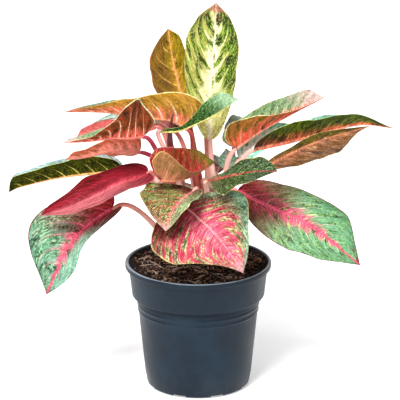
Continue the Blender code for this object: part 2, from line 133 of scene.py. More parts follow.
# Stalks
STALK_FOOT_RADIUS = 2.3        # mm
STALK_TIP_RADIUS = 1.7
STALK_RUN_IN = 8.0             # how far before the blade a stalk takes the rib's direction, mm
STALK_STEPS = 44
STALK_SIDES = 20
SHEATH_SHARE = 0.42            # how much of a stalk its sheath takes up


def leaf(rib, left, right, stalk, fold=(10, 10), curl=(10, 10), **shape):
    """One leaf: rib is points on its midrib, left and right its half widths at STATIONS.

    stalk: (cane, share of the way up it, compass angle of the foot, bend point). fold, curl: how
    steeply each half rises at the rib, and how much more it turns by the margin, in degrees.
    Further entries: tip_fold (fold at the tip, if another), heading (level direction it lies in,
    if not the rib's own), roll, wave (height of the margin waves), lobe (how far the base lobes
    reach back) and run_in (in place of STALK_RUN_IN).
    """
    return dict(rib=rib, left=left, right=right, stalk=stalk, fold=fold, curl=curl, **shape)


LEAVES = {
    "top_tall": leaf(
        ((10, 12, 205), (10, 14, 228), (11, 21, 260), (14, 27, 289), (15, 29, 316)),
        (10, 18, 22.5, 24, 15), (11, 18.5, 22, 21, 12), ("back", 0.98, 345, (11, 11, 187)),
        heading=90, fold=(10, 14), curl=(10, 12), wave=0.8),
    "top_olive": leaf(
        ((-7, 26, 214), (-14, 32, 237), (-21, 40, 265), (-25, 44, 290)),
        (9, 15, 14, 12, 9), (9, 17, 22, 20, 9), ("back", 0.85, 120, (-3, 22, 194)),
        heading=-90, fold=(14, 14), wave=0.6),
    "left_high": leaf(
        ((-8, -1, 217), (-21, 1, 224), (-43, 4, 226), (-76, 10, 229), (-109, 14, 228)),
        (29, 24, 16, 9, 4), (24, 20, 14, 9, 4), ("back", 0.9, 200, (-8, 4, 192)),
        fold=(82, 60), tip_fold=(70, 50), curl=(5, 10), lobe=8, wave=0.8),
    "left_folded": leaf(
        ((-43, -26, 219), (-55, -34, 220), (-68, -43, 223), (-86, -54, 224), (-106, -62, 225)),
        (25, 37, 17, 6, 3), (10, 12, 10, 8, 5), ("left", 0.955, 213, (-32, -14, 196)),
        fold=(90, 60), tip_fold=(60, 20), curl=(-5, 10), lobe=12),
    "left_salmon": leaf(
        ((-47, -12, 202), (-67, -18, 206), (-87, -24, 203), (-106, -28, 201)),
        (15, 14.5, 11.5, 9, 7), (13, 15, 6, 4, 2), ("left", 0.83, 180, (-26, -3, 193)),
        roll=50, fold=(20, 10), curl=(0, 10), wave=0.8),
    "left_red": leaf(
        ((-34, 6, 218), (-55, 2, 219), (-80, 0, 216), (-99, -2, 211)),
        (8, 10, 10, 8, 5), (6, 8, 9, 9, 7), ("left", 0.9, 140, (-24, 8, 200)),
        roll=-25, fold=(15, 15), wave=0.8),
    "left_teal": leaf(
        ((-33, 20, 216), (-52, 34, 217), (-71, 46, 214), (-87, 54, 207)),
        (8, 13, 13, 10, 5), (8, 13, 13, 10, 5), ("left", 0.8, 100, (-18, 14, 196)),
        roll=-5, wave=1.0),
    "left_long": leaf(
        ((-60, -2, 183), (-80, 0, 181), (-113, 3, 176), (-144, 4, 168), (-155, 4, 163)),
        (13, 17.5, 14, 13, 12), (13, 17, 15, 13, 12), ("left", 0.67, 145, (-34, -3, 182)),
        fold=(75, 66), tip_fold=(70, 64), curl=(16, 14), wave=0.9),
    "left_crimson": leaf(
        ((-40, -12, 185), (-61, -24, 183), (-83, -38, 176), (-107, -46, 167), (-126, -50, 161)),
        (14, 15, 15, 13, 5), (10, 12, 15, 10, 6), ("left", 0.4, 220, (-36, -4, 166)),
        roll=-30, fold=(10, 20), lobe=4, wave=1.0),
    "left_hanging": leaf(
        ((-68, -16, 156), (-84, -24, 147), (-100, -34, 135), (-112, -42, 115), (-122, -46, 92)),
        (7, 9, 11, 15, 7), (16, 28, 37, 28, 9), ("left", 0.1, 255, (-51, 1, 160)),
        heading=200, roll=-50, curl=(10, -10), lobe=10, wave=1.2),
    "centre_cupped": leaf(
        ((-32, -38, 186), (-17, -34, 185), (-2, -24, 188), (12, -16, 195)),
        (27, 28, 26, 22, 15), (27, 18, 8, 5, 4), ("left", 0.62, 250, (-30, -16, 198)),
        fold=(68, 85), tip_fold=(60, 20), lobe=12, run_in=5),
    "centre_mottled": leaf(
        ((-3, -34, 177), (-11, -44, 174), (-20, -56, 167), (-26, -66, 153)),
        (12, 15, 13, 9, 4), (23, 37, 36, 22, 8), ("front", 0.8, 255, (-2, -20, 177)),
        heading=-110, fold=(15, -3), lobe=2, wave=1.0, run_in=5),
    "front_pink": leaf(
        ((-15, -24, 163), (0, -44, 157), (18, -62, 144), (36, -72, 120)),
        (12, 28, 39, 25, 10), (32, 46, 42, 24, 6), ("front", 0.49, 235, (-11.5, -10.5, 155)),
        heading=-62, roll=38, fold=(5, 5), lobe=6, wave=1.0),
    "front_green": leaf(
        ((6, -38, 185), (23, -50, 193), (43, -62, 201), (63, -70, 204)),
        (4, 9, 15, 16, 9), (4, 20, 30, 20, 5), ("front", 0.97, 330, (8, -24, 176)),
        roll=25, fold=(5, 5), wave=0.8, run_in=2),
    "right_low": leaf(
        ((31, -14, 170), (52, -26, 163), (90, -44, 150), (130, -54, 120)),
        (17, 23, 24, 26, 10), (11, 25, 29, 23, 8), ("right", 0.65, 275, (24, -12, 166)),
        roll=42, fold=(2, 2), curl=(8, 8), wave=1.2),
    "right_high": leaf(
        ((31, 8, 199), (52, 18, 211), (79, 30, 223), (103, 38, 233)),
        (18, 18, 17, 15, 12), (25, 18, 9, 3, 2), ("right", 0.98, 60, (22, 9, 184)),
        fold=(64, 78), tip_fold=(60, 60), curl=(12, 12), lobe=10, wave=0.6),
    "right_long": leaf(
        ((45, 0, 200), (71, 2, 205), (99, 5, 212), (132, 8, 219), (161, 10, 215)),
        (6, 11, 14.5, 10, 3), (13, 19, 16, 12.5, 4), ("right", 0.9, 345, (30, 0, 184)),
        fold=(52, 74), tip_fold=(60, 70), curl=(5, 5), wave=0.6),
    "right_brown": leaf(
        ((53, -8, 187), (74, -16, 202), (102, -26, 218), (137, -34, 231)),
        (12, 20, 26, 20, 4), (4, 5, 7, 5, 2), ("right", 0.7, 315, (34, -6, 170)),
        roll=-60, wave=0.8),
    "right_teal": leaf(
        ((34, 13, 188), (45, 19, 198), (59, 26, 206), (77, 34, 211)),
        (8, 12, 12, 9, 4), (8, 12, 12, 9, 4), ("right", 0.8, 20, (29, 8, 174)),
        roll=30, wave=0.8),
    "right_small": leaf(
        ((24, 20, 176), (24, 22, 185), (23, 24, 194)),
        (4, 7, 8, 6, 2), (4, 7, 8, 6, 2), ("right", 0.75, 75, (23, 17, 172)),
        heading=90),
    "crossing": leaf(
        ((-31, -14, 220.5), (-17, -16, 221.5), (-4, -18, 227), (13, -20, 236.5), (32, -20, 249)),
        (3, 4, 8, 13, 12), (3, 5, 10, 16, 17), ("left", 0.62, 295, (-10, -27, 186)),
        fold=(52, 72), tip_fold=(50, 62), wave=0.6),
    "back_tall": leaf(
        ((6, 38, 220), (9, 64, 245), (11, 88, 251), (13, 122, 224)),
        (15, 23, 24, 16, 6), (15, 23, 24, 16, 6), ("back", 0.8, 70, (8, 26, 190)),
        heading=90, fold=(15, 15), wave=1.0),
    "back_left": leaf(
        ((-18, 28, 206), (-34, 54, 208), (-50, 84, 200), (-64, 108, 187)),
        (12, 19, 20, 14, 5), (12, 19, 20, 14, 5), ("back", 0.72, 150, (-9, 18, 192)),
        wave=1.0),
    "back_right": leaf(
        ((30, 33, 194), (40, 58, 201), (50, 86, 197), (60, 112, 183)),
        (12, 18, 19, 13, 5), (12, 18, 19, 13, 5), ("right", 0.5, 60, (32, 28, 168)),
        wave=1.0),
    "back_side": leaf(
        ((15, 26, 172), (21, 52, 174), (32, 80, 166), (44, 108, 149)),
        (11, 17, 18, 13, 5), (11, 17, 18, 13, 5), ("back", 0.5, 20, (14, 20, 164)),
        roll=-10, wave=1.0),
    "back_low": leaf(
        ((-3, 32, 158), (0, 54, 152), (4, 84, 136), (8, 112, 108)),
        (12, 20, 21, 15, 5), (12, 20, 21, 15, 5), ("back", 0.45, 100, (0, 28, 154)),
        wave=1.0),
}


# Shapes

def unit(vectors):
    return vectors / np.linalg.norm(vectors, axis=-1, keepdims=True)


def bell(distance, reach):
    """1 at no distance, falling away smoothly around reach."""
    return np.exp(-(distance / reach) ** 2)


def triples(*measures):
    """Three matching arrays as one row of three for each point."""
    return np.stack(measures, axis=-1).reshape(-1, 3)


def run_along(points):
    """How far along a line of points each one lies."""
    return np.concatenate([[0], np.cumsum(np.linalg.norm(np.diff(points, axis=0), axis=1))])


def spread_over(values, places):
    """Rows of three values, interpolated at an array of places along them."""
    steps = np.arange(len(values))
    return np.stack([np.interp(places, steps, values[:, axis]) for axis in range(3)], axis=-1)


def smooth_route(knots):
    """A smooth route through the knots: evenly spaced points, their tangents, and its length."""
    knots = np.array(knots, float)
    padded = np.vstack([2 * knots[0] - knots[1], knots, 2 * knots[-1] - knots[-2]])
    t = np.linspace(0, 1, ROUTE_STEPS // 5)[:, None]
    pieces = []
    for a, b, c, d in zip(padded, padded[1:], padded[2:], padded[3:]):
        pieces.append(b + 0.5 * t * (c - a + t * (2 * a - 5 * b + 4 * c - d + t * (3 * (b - c) + d - a))))
    rough = np.vstack([pieces[0]] + [piece[1:] for piece in pieces[1:]])
    run = run_along(rough)
    even = np.linspace(0, run[-1], ROUTE_STEPS)
    points = np.stack([np.interp(even, run, rough[:, axis]) for axis in range(3)], axis=1)
    return points, unit(np.gradient(points, axis=0)), run[-1]


def half_width(along, widths):
    """Half width in mm, a monotone cubic through the stations that is round at the base."""
    x = np.sqrt(STATIONS)
    y = np.array([0.0, *widths, 0.0])
    step = np.diff(x)
    slope = np.diff(y) / step
    tangent = np.concatenate([slope[:1], np.zeros(len(x) - 2), slope[-1:]])
    for i in range(1, len(x) - 1):
        if slope[i - 1] * slope[i] > 0:
            first = 2 * step[i] + step[i - 1]
            second = step[i] + 2 * step[i - 1]
            tangent[i] = (first + second) / (first / slope[i - 1] + second / slope[i])
    u = np.sqrt(along)
    i = np.clip(np.searchsorted(x, u, side="right") - 1, 0, len(x) - 2)
    t = (u - x[i]) / step[i]
    rise = (t ** 3 - 2 * t ** 2 + t) * tangent[i] + (t ** 3 - t ** 2) * tangent[i + 1]
    return y[i] + (3 * t ** 2 - 2 * t ** 3) * (y[i + 1] - y[i]) + step[i] * rise


def blade_points(spec, along, across):
    """Surface points in mm, and half widths, for matching arrays of places on a blade."""
    route, tangents, _ = smooth_route(spec["rib"])
    places = along * (ROUTE_STEPS - 1)
    centre = spread_over(route, places)
    ahead = unit(spread_over(tangents, places))
    run = route[-1] - route[0]
    heading = radians(spec["heading"]) if "heading" in spec else np.arctan2(run[1], run[0])
    level_side = np.array([-np.sin(heading), np.cos(heading), 0.0])
    side = unit(level_side - (ahead @ level_side)[..., None] * ahead)
    up = np.cross(ahead, side)
    roll = radians(spec.get("roll", 0))
    side, up = side * cos(roll) + up * sin(roll), up * cos(roll) - side * sin(roll)

    left = across > 0
    out = np.abs(across)
    width = np.where(left, half_width(along, spec["left"]), half_width(along, spec["right"]))
    width = np.maximum(width, END_HALF_WIDTH)
    base_angle = np.where(left, *spec["fold"])
    tip_angle = np.where(left, *spec.get("tip_fold", spec["fold"]))
    angle = np.radians(base_angle + (tip_angle - base_angle) * along) * width / (width + FOLD_EASE)
    curl = np.radians(np.where(left, *spec["curl"])) + ALMOST_NONE
    level = width * (np.sin(angle + curl * out) - np.sin(angle)) / curl
    raised = width * (np.cos(angle) - np.cos(angle + curl * out)) / curl
    swell = np.sqrt(np.sin(pi * along)) * (1 - along ** 3)
    phase = 2 * pi * (WAVES * along + np.where(left, 0.25, 0.0))
    raised += spec.get("wave", 0.0) * out ** 2 * swell * np.sin(phase)
    back = spec.get("lobe", 0.0) * out ** 2 * (1 - along) ** LOBE_REACH
    back *= np.minimum(1.0, LOBE_REACH * np.sqrt(along))
    level = np.where(left, level, -level)
    points = centre + level[..., None] * side + raised[..., None] * up - back[..., None] * ahead
    return points, width


def grid_faces(rows, columns):
    """Quads between neighbouring rows and columns of numbered points."""
    r, c = np.meshgrid(np.arange(rows - 1), np.arange(columns - 1), indexing="ij")
    corner = (r * columns + c).ravel()
    return np.stack([corner, corner + columns, corner + columns + 1, corner + 1], axis=1)


def ring_faces(rings, sides, first=0):
    """Quads round numbered rings of points, from each ring to the next."""
    return [(a + k, a + (k + 1) % sides, a + (k + 1) % sides + sides, a + k + sides)
            for a in range(first, first + (rings - 1) * sides, sides) for k in range(sides)]


def tube_faces(rings, sides, first, near, far):
    """Faces of a tube of rings, closed by fans from the points near and far."""
    last = first + (rings - 1) * sides
    faces = ring_faces(rings, sides, first)
    for k in range(sides):
        ahead = (k + 1) % sides
        faces += [(near, first + ahead, first + k), (far, last + k, last + ahead)]
    return faces


def turned_over(faces):
    return [face[:1] + face[:0:-1] for face in faces]


def add_object(name, data):
    made = bpy.data.objects.new(name, data)
    bpy.context.scene.collection.objects.link(made)
    return made


def make_mesh(name, points, faces, materials, material_of=None, vectors=None):
    """A smooth mesh object from points in mm. vectors holds named vector attributes per point."""
    data = bpy.data.meshes.new(name)
    scaled = [tuple(point) for point in np.asarray(points) * MM]
    data.from_pydata(scaled, [], [tuple(map(int, face)) for face in faces])
    for material in materials:
        data.materials.append(material)
    if material_of is not None:
        data.polygons.foreach_set("material_index", np.asarray(material_of, np.int32))
    for key, values in (vectors or {}).items():
        layer = data.attributes.new(key, "FLOAT_VECTOR", "POINT")
        layer.data.foreach_set("vector", np.asarray(values, np.float32).ravel())
    data.polygons.foreach_set("use_smooth", np.ones(len(data.polygons), bool))
    data.update()
    return add_object(name, data)


def attach(piece, node=None):
    """Fixes a piece to the body, in place of a CAD node if one is given."""
    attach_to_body(piece, "root")
    if node:
        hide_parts(node)


def settle(piece, node):
    """Attaches a piece in place of a CAD node, centred on that node's box."""
    low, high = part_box(node)
    corners = np.array([vertex.co for vertex in piece.data.vertices])
    middle = (corners.min(0) + corners.max(0)) / 2
    piece.data.transform(Matrix.Translation((low + high) / 2 - Vector(middle)))
    attach(piece, node)


def build_blade(name, spec, seed, look):
    """A closed leaf blade with a midrib, quilting between its veins, and a thin margin."""
    upper, lower, veins, sweep_ahead = look
    length = smooth_route(spec["rib"])[2]
    rows, columns = int(np.clip(length / BLADE_ROW, *BLADE_ROWS)), BLADE_COLUMNS
    t = np.linspace(0, 1, rows)
    u = np.linspace(-1, 1, columns)
    along, across = np.meshgrid(t ** BASE_CROWDING, np.sign(u) * np.abs(u) ** RIB_CROWDING, indexing="ij")
    points, width = blade_points(spec, along, across)
    out = np.abs(across)
    from_rib = out * width

    # Side veins sink in from above; their phase counts them, and shifts by half from side to side
    phase = veins * (along - sweep_ahead * out ** VEIN_SWEEP) + np.where(across > 0, 0.0, 0.5)
    ripple = 0.5 + 0.5 * np.cos(2 * pi * phase)
    reach = np.clip(from_rib / 3, 0, 1) * np.clip((1 - out) * 3, 0, 1) * np.clip((1 - along) * 5, 0, 1)
    quilt = QUILTING * length / veins * ripple ** 2 * reach

    normals = np.cross(np.gradient(points, axis=1), np.gradient(points, axis=0))
    normals = -unit(normals)
    taper = (1 - along) ** 0.6
    groove = GROOVE[0] * bell(from_rib, GROOVE[1]) * taper
    keel = (KEEL_FOOT[0] + KEEL[0] * bell(from_rib, KEEL[1])) * taper * bell(from_rib, KEEL_FOOT[1])
    half = 0.5 * BLADE_THICKNESS * (1 - MARGIN_THINNING * out ** 6)
    shift = np.where(across > 0, FLUTTER_SHIFT[0], 0.0) + FLUTTER_SHIFT[1] * seed
    flutter = sum(height * np.sin(2 * pi * waves * (along + shift)) for height, waves in FLUTTER)
    flutter = flutter * out ** 2.5 * np.sin(pi * along) * np.minimum(1.0, width / FLUTTER_WIDTH)
    top = points + normals * (half - groove - quilt + flutter)[..., None]
    under = points - normals * (half + keel + quilt * 0.9 - flutter)[..., None]

    count = rows * columns
    edge = np.concatenate([
        np.arange(columns), columns * np.arange(1, rows) + columns - 1,
        count - 1 - np.arange(1, columns), columns * np.arange(rows - 2, 0, -1)])
    ahead = np.roll(edge, -1)
    sides = np.stack([ahead, ahead + count, edge + count, edge], axis=1)
    quads = grid_faces(rows, columns)
    faces = [quads, (quads + count)[:, ::-1], sides]
    kinds = np.repeat([0, 1, 0], [len(group) for group in faces])
    place = triples(along, across, phase)
    flat = triples(along * length, across * width, np.full_like(along, NOISE_STEP * seed))
    points = np.vstack([top.reshape(-1, 3), under.reshape(-1, 3)])
    piece = make_mesh(f"blade_{name}", points, np.vstack(faces), [upper, lower], kinds,
                      {"place": np.tile(place, (2, 1)), "flat": np.tile(flat, (2, 1))})
    settle(piece, f"leaf_{name}")


def bezier(controls, steps):
    """Points in mm along the Bezier curve of the given control points."""
    points = []
    for share in np.linspace(0, 1, steps + 1):
        level = [np.array(control, float) for control in controls]
        while len(level) > 1:
            level = [a + (b - a) * share for a, b in zip(level, level[1:])]
        points.append(level[0])
    return np.array(points)


def sweep(name, route, radius_of, sides, material):
    """A closed tube along route (mm). radius_of takes arrays of share along and angle around."""
    ahead = unit(np.gradient(route, axis=0))
    side = np.cross(ahead[0], (0.0, 1.0, 0.0))
    if np.linalg.norm(side) < 0.1:
        side = np.cross(ahead[0], (1.0, 0.0, 0.0))
    sides_along = []
    for direction in ahead:
        side = unit(side - (side @ direction) * direction)
        sides_along.append(side)
    side = np.array(sides_along)
    up = np.cross(ahead, side)
    share, angle = np.meshgrid(
        np.linspace(0, 1, len(route)), np.linspace(0, 2 * pi, sides, endpoint=False), indexing="ij")
    radius = radius_of(share, angle)
    b, c = radius * np.cos(angle), radius * np.sin(angle)
    ring = route[:, None] + b[..., None] * side[:, None] + c[..., None] * up[:, None]
    points = np.vstack([ring.reshape(-1, 3), route[:1], route[-1:]])
    faces = tube_faces(len(route), sides, 0, len(points) - 2, len(points) - 1)
    run = run_along(route)
    flat = triples(np.repeat(run, sides).reshape(share.shape), b, c)
    place = triples(share, angle / (2 * pi), share * 0)
    return make_mesh(name, points, faces, [material], vectors={
        "flat": np.vstack([flat, [(0, 0, 0), (run[-1], 0, 0)]]),
        "place": np.vstack([place, [(0, 0, 0), (1, 0, 0)]])})


# Materials

def linear(code):
    """A linear colour from six hexadecimal digits."""
    values = [int(code[i:i + 2], 16) / 255 for i in (0, 2, 4)]
    return tuple(v / 12.92 if v < 0.04045 else ((v + 0.055) / 1.055) ** 2.4 for v in values) + (1.0,)


class Wire:
    """One output of a node. Sums and products of wires add the nodes that work them out."""

    def __init__(self, shader, socket):
        self.shader = shader
        self.socket = socket

    def __add__(self, other):
        return self.shader.math("ADD", self, other)

    def __mul__(self, other):
        return self.shader.math("MULTIPLY", self, other)

    __radd__ = __add__
    __rmul__ = __mul__

    def __sub__(self, number):
        return self + -number

    def __rsub__(self, number):
        return self.shader.math("SUBTRACT", number, self)

    def __truediv__(self, other):
        return self.shader.math("DIVIDE", self, other)

    def __abs__(self):
        return self.shader.math("ABSOLUTE", self)


class Shader:
    """A node material. Most of its methods add one node and give back its output."""

    def __init__(self, name, roughness, specular):
        self.material = bpy.data.materials.new(name)
        self.material.use_nodes = True
        self.tree = self.material.node_tree
        self.surface = self.tree.nodes["Principled BSDF"]
        self.surface.inputs["Roughness"].default_value = roughness
        self.surface.inputs["Specular IOR Level"].default_value = specular

    def node(self, kind, output=0, inputs=(), **settings):
        made = self.tree.nodes.new(kind)
        for key, value in settings.items():
            setattr(made, key, value)
        for key, value in dict(inputs).items():
            self.feed(made.inputs[key], value)
        return Wire(self, made.outputs[output])

    def feed(self, socket, value):
        if isinstance(value, Wire):
            self.tree.links.new(value.socket, socket)
        elif isinstance(value, str):
            socket.default_value = linear(value)
        else:
            socket.default_value = value

    def math(self, operation, *values):
        return self.node("ShaderNodeMath", inputs=enumerate(values), operation=operation)

    def ease(self, value, low, high, start=0.0, end=1.0):
        """Goes smoothly from start to end as value goes from low to high."""
        return self.node("ShaderNodeMapRange", interpolation_type="SMOOTHSTEP", inputs={
            "Value": value, "From Min": low, "From Max": high, "To Min": start, "To Max": end})

    def mix(self, share, a, b, blend="MIX"):
        return self.node("ShaderNodeMix", output=2, data_type="RGBA", blend_type=blend, clamp_result=True,
                         inputs={0: share, 6: a, 7: b})

    def attribute(self, name):
        return self.node("ShaderNodeAttribute", output=1, attribute_name=name)

    def split(self, vector):
        made = self.tree.nodes.new("ShaderNodeSeparateXYZ")
        self.feed(made.inputs[0], vector)
        return [Wire(self, socket) for socket in made.outputs]

    def join(self, x, y, z):
        return self.node("ShaderNodeCombineXYZ", inputs={0: x, 1: y, 2: z})

    def noise(self, vector, scale, detail, roughness, distortion=0.0):
        return self.node("ShaderNodeTexNoise", inputs={
            "Vector": vector, "Scale": scale, "Detail": detail, "Roughness": roughness,
            "Distortion": distortion})

    def cell_edges(self, vector, scale):
        return self.node("ShaderNodeTexVoronoi", feature="DISTANCE_TO_EDGE", inputs={
            "Vector": vector, "Scale": scale})

    def place(self):
        return self.node("ShaderNodeTexCoord", output=3)

    def bump(self, height, distance, strength):
        self.feed(self.surface.inputs["Normal"], self.node("ShaderNodeBump", inputs={
            "Strength": strength, "Distance": distance, "Height": height}))

    def roughness(self, value):
        self.feed(self.surface.inputs["Roughness"], value)

    def colour(self, value):
        """Sets the base colour, the last thing a material needs, and gives back the material."""
        self.feed(self.surface.inputs["Base Color"], value)
        return self.material


def leaf_material(name, core, outer, second, core_mm, light, green, spread, vein, rib, edge,
                  feather=0.5, taper=0.4, grain=1.6, stretch=1.9, blur=0.06, depth=0.9, fleck=None,
                  specks=None, base=None, tip=None, left=None, right=None, contrast=0.6, folds=0.0,
                  tint=(1.0, 1.0, 1.0), rough=0.42, gloss=0.15):
    """One side of a leaf.

    Ground. core, outer, second: colours beside the midrib, towards the margin, and clouded over
    that. core_mm: where core gives way to outer; feather: how unevenly; taper: what share of it is
    left at the tip. light: colour and amount of thin pale streaks.
    Mottles. green: their two colours. spread: how much of them everywhere, and added towards the
    margin, the tip and the left half. grain, stretch: how many patches from vein to vein, and from
    rib to margin. blur: softness of their edges. depth: how fully they cover. fleck: colour and
    amount of streaks in them. specks: colour and amount of small dots over everything.
    Lines. vein: colour, strength, width. rib: colour, width in mm. edge: colour, share of the half
    width it takes up.
    Tints. base, tip: colour and reach along the blade. left, right: a colour over that half, its
    strength and where it starts. tint: red, green and blue factors over all.
    Shading. contrast: of light and dark grain. folds: strength of broad bands of painted light and shade,
    as over folds.
    rough, gloss: roughness and specular level.
    """
    s = Shader(name, 0.4, gloss)
    along, across, phase = s.split(s.attribute("place"))
    flat = s.attribute("flat")
    _, aside, seed = s.split(flat)
    out = abs(across)
    from_rib = abs(aside)
    cloud = s.noise(flat, 0.09, 3.0, 0.55) - 0.5
    fine = s.noise(flat, 0.5, 4.0, 0.65) - 0.5
    streak = s.noise(s.join(phase * 3.0, across * 1.1, seed), 1.6, 4.0, 0.65) - 0.5
    thread = s.noise(s.join(phase * 7.0, across * 2.4, seed), 1.7, 4.0, 0.65) - 0.5
    vein_wave = s.math("COSINE", (phase + cloud * 0.3) * (2 * pi))

    # Ground: the colour beside the midrib runs out along the side veins
    uneven = streak * 2.4 + (vein_wave * 0.12 + thread * 1.2)
    uneven = 1.0 + (uneven + cloud * 2.2) * feather
    reach = uneven * core_mm * s.ease(along, 0.0, 1.0, 1.3, taper)
    inner = s.ease(from_rib / s.math("MAXIMUM", reach, 0.3), 0.35, 1.5, 1.0, 0.0)
    ground = s.mix(s.ease(cloud + streak * 0.8, -0.12, 0.16, 0.0, 0.8), outer, second)
    ground = s.mix(inner, ground, core)
    tone, amount = light
    ground = s.mix(s.ease(thread + streak * 0.5, 0.02, 0.16, 0.0, amount), ground, tone)

    # Mottles: patches drawn out along the side veins, with ragged edges
    patch = s.noise(s.join(phase * grain, across * stretch, seed), 1.7, 5.0, 0.62, 0.5)
    patch = patch + (fine * 0.3 + thread * 0.3)
    everywhere, to_margin, to_tip, to_left = spread
    level = everywhere + out * to_margin + across * to_left + along * to_tip + vein_wave * -0.12
    cover = s.ease(patch + level * 0.5, 0.6 - blur, 0.6 + blur, 0.0, depth)
    two = s.ease(fine + thread * 0.8 + cloud * 0.6, -0.12, 0.12)
    colour = s.mix(cover, ground, s.mix(two, *green))
    if fleck:
        tone, amount = fleck
        colour = s.mix(s.ease(thread + fine * 0.8, 0.02, 0.14, 0.0, amount) * cover, colour, tone)
    if specks:
        tone, amount = specks
        dots = s.noise(flat, 1.3, 2.0, 0.6) + thread * 0.35
        colour = s.mix(s.ease(dots, 0.68 - amount, 0.74 - amount, 0.0, 0.8), colour, tone)

    # Tints at the two ends and on either half
    for end, measure in ((base, along), (tip, 1.0 - along)):
        if end:
            tone, far = end
            near = measure + (cloud * 0.35 + streak * 0.3)
            colour = s.mix(s.ease(near, 0.0, far, 0.9, 0.0), colour, tone)
    for half, turn in ((left, 1.0), (right, -1.0)):
        if half:
            tone, amount, start = half
            there = across * turn + (cloud * 0.6 + streak * 0.5)
            there = s.ease(there, start, start + 0.4, 0.0, amount) * s.ease(along, 0.05, 0.45, 0.3)
            colour = s.mix(there, colour, tone)

    # Side veins, midrib and margin
    tone, strength, width = vein
    off = s.math("PINGPONG", phase + cloud * 0.06, 0.5)
    line = s.ease(off / (s.ease(out, 0.0, 0.95, 1.0, 0.3) * width), 0.2, 1.0, 1.0, 0.0)
    fade = s.ease(out, 0.3, 0.98, 1.0, 0.12) * s.ease(along, 0.75, 1.0, 1.0, 0.2)
    fade = fade * s.ease(streak + fine, -0.3, 0.1, 0.35, 1.0)
    colour = s.mix(line * fade * strength, colour, tone)
    tone, width = rib
    rib_half = s.ease(along, 0.0, 1.0, 1.0, 0.25) * width
    colour = s.mix(s.ease(from_rib / rib_half, 0.5, 1.2, 1.0, 0.0) * 0.9, colour, tone)
    tone, width = edge
    margin = s.ease(out + cloud * (0.5 * width), 1.0 - width, 1.0 - 0.3 * width)
    colour = s.mix(margin * 0.85, colour, tone)

    # Light and dark over the whole side
    shade = cloud * 0.8 + (fine * 1.4 + (streak * 0.5 + thread * 1.4))
    shade = s.ease(shade, -0.34, 0.34, -contrast, 0.7 * contrast) * s.ease(cover, 0.0, 0.8, 0.6, 1.1) + 1.0
    # Painted light and shade: broad bands along the blade, where light would fall over lengthwise folds
    if folds:
        band = s.noise(s.join(along * 2.2, across * 3.0, seed), 1.0, 2.0, 0.5)
        shade = shade * s.ease(band, 0.36, 0.64, 1.0 - 0.25 * folds, 1.0 + 0.2 * folds)
    tinted = s.node("ShaderNodeCombineColor", inputs=enumerate(shade * factor for factor in tint))
    colour = s.mix(1.0, colour, tinted, "MULTIPLY")
    colour = s.node("ShaderNodeGamma", inputs={0: colour, 1: 1.25})

    # Fine relief: the small veins between the side veins, and the leaf's grain
    net = s.ease(s.cell_edges(s.join(phase * 2.2, across * 9.0, seed), 1.7), 0.0, 0.16)
    quilt = vein_wave * s.ease(out, 0.05, 0.5) * s.ease(out, 0.6, 1.0, -1.0, -0.2)
    s.bump(net * 0.35 + s.noise(flat, 2.4, 2.0, 0.6) * 0.4 + quilt, 0.0004, 0.8)
    s.roughness(s.ease(cloud + fine, -0.35, 0.35, rough - 0.08, rough + 0.1))
    return s.colour(colour)


def drawn_out(s, length_scale, *settings):
    """How far along a stem each place is, and noise drawn out along it."""
    length, b, c = s.split(s.attribute("flat"))
    return length, s.noise(s.join(length * length_scale, b, c), *settings)


def stalk_material(name, foot, top, streak):
    s = Shader(name, 0.38, 0.45)
    share, _, _ = s.split(s.attribute("place"))
    _, grain = drawn_out(s, 0.06, 0.9, 4.0, 0.6)
    freckle = s.noise(s.attribute("flat"), 1.4, 3.0, 0.6)
    colour = s.mix(s.ease(share, 0.0, 0.8), foot, top)
    colour = s.mix(s.ease(grain, 0.5, 0.68, 0.0, 0.6), colour, streak)
    colour = s.mix(s.ease(freckle, 0.6, 0.72, 0.0, 0.35), colour, streak)
    s.bump(grain, 0.0003, 0.35)
    return s.colour(colour)


def cane_material():
    s = Shader("cane_bark", 0.5, 0.35)
    share, _, _ = s.split(s.attribute("place"))
    length, grain = drawn_out(s, 0.25, 0.8, 4.0, 0.65)
    colour = s.mix(s.ease(grain, 0.35, 0.65), "7d8a4a", "a8825c")
    colour = s.mix(s.ease(share, 0.25, 0.9), colour, "c98a78")
    beat = s.math("PINGPONG", length / CANE_RING_SPACING, 0.5)
    colour = s.mix(s.ease(beat, 0.05, 0.13, 0.8, 0.0), colour, "c9b48c")
    s.bump(grain, 0.0004, 0.5)
    return s.colour(colour)


def spear_material():
    s = Shader("spear_leaf_maroon", 0.35, 0.5)
    share, _, _ = s.split(s.attribute("place"))
    _, streak = drawn_out(s, 0.08, 1.2, 4.0, 0.6)
    colour = s.mix(s.ease(streak, 0.4, 0.62), "4f1a1e", "7a2c2a")
    colour = s.mix(s.ease(share, 0.0, 0.35, 0.8, 0.0), colour, "c07868")
    s.bump(streak, 0.0003, 0.4)
    return s.colour(colour)


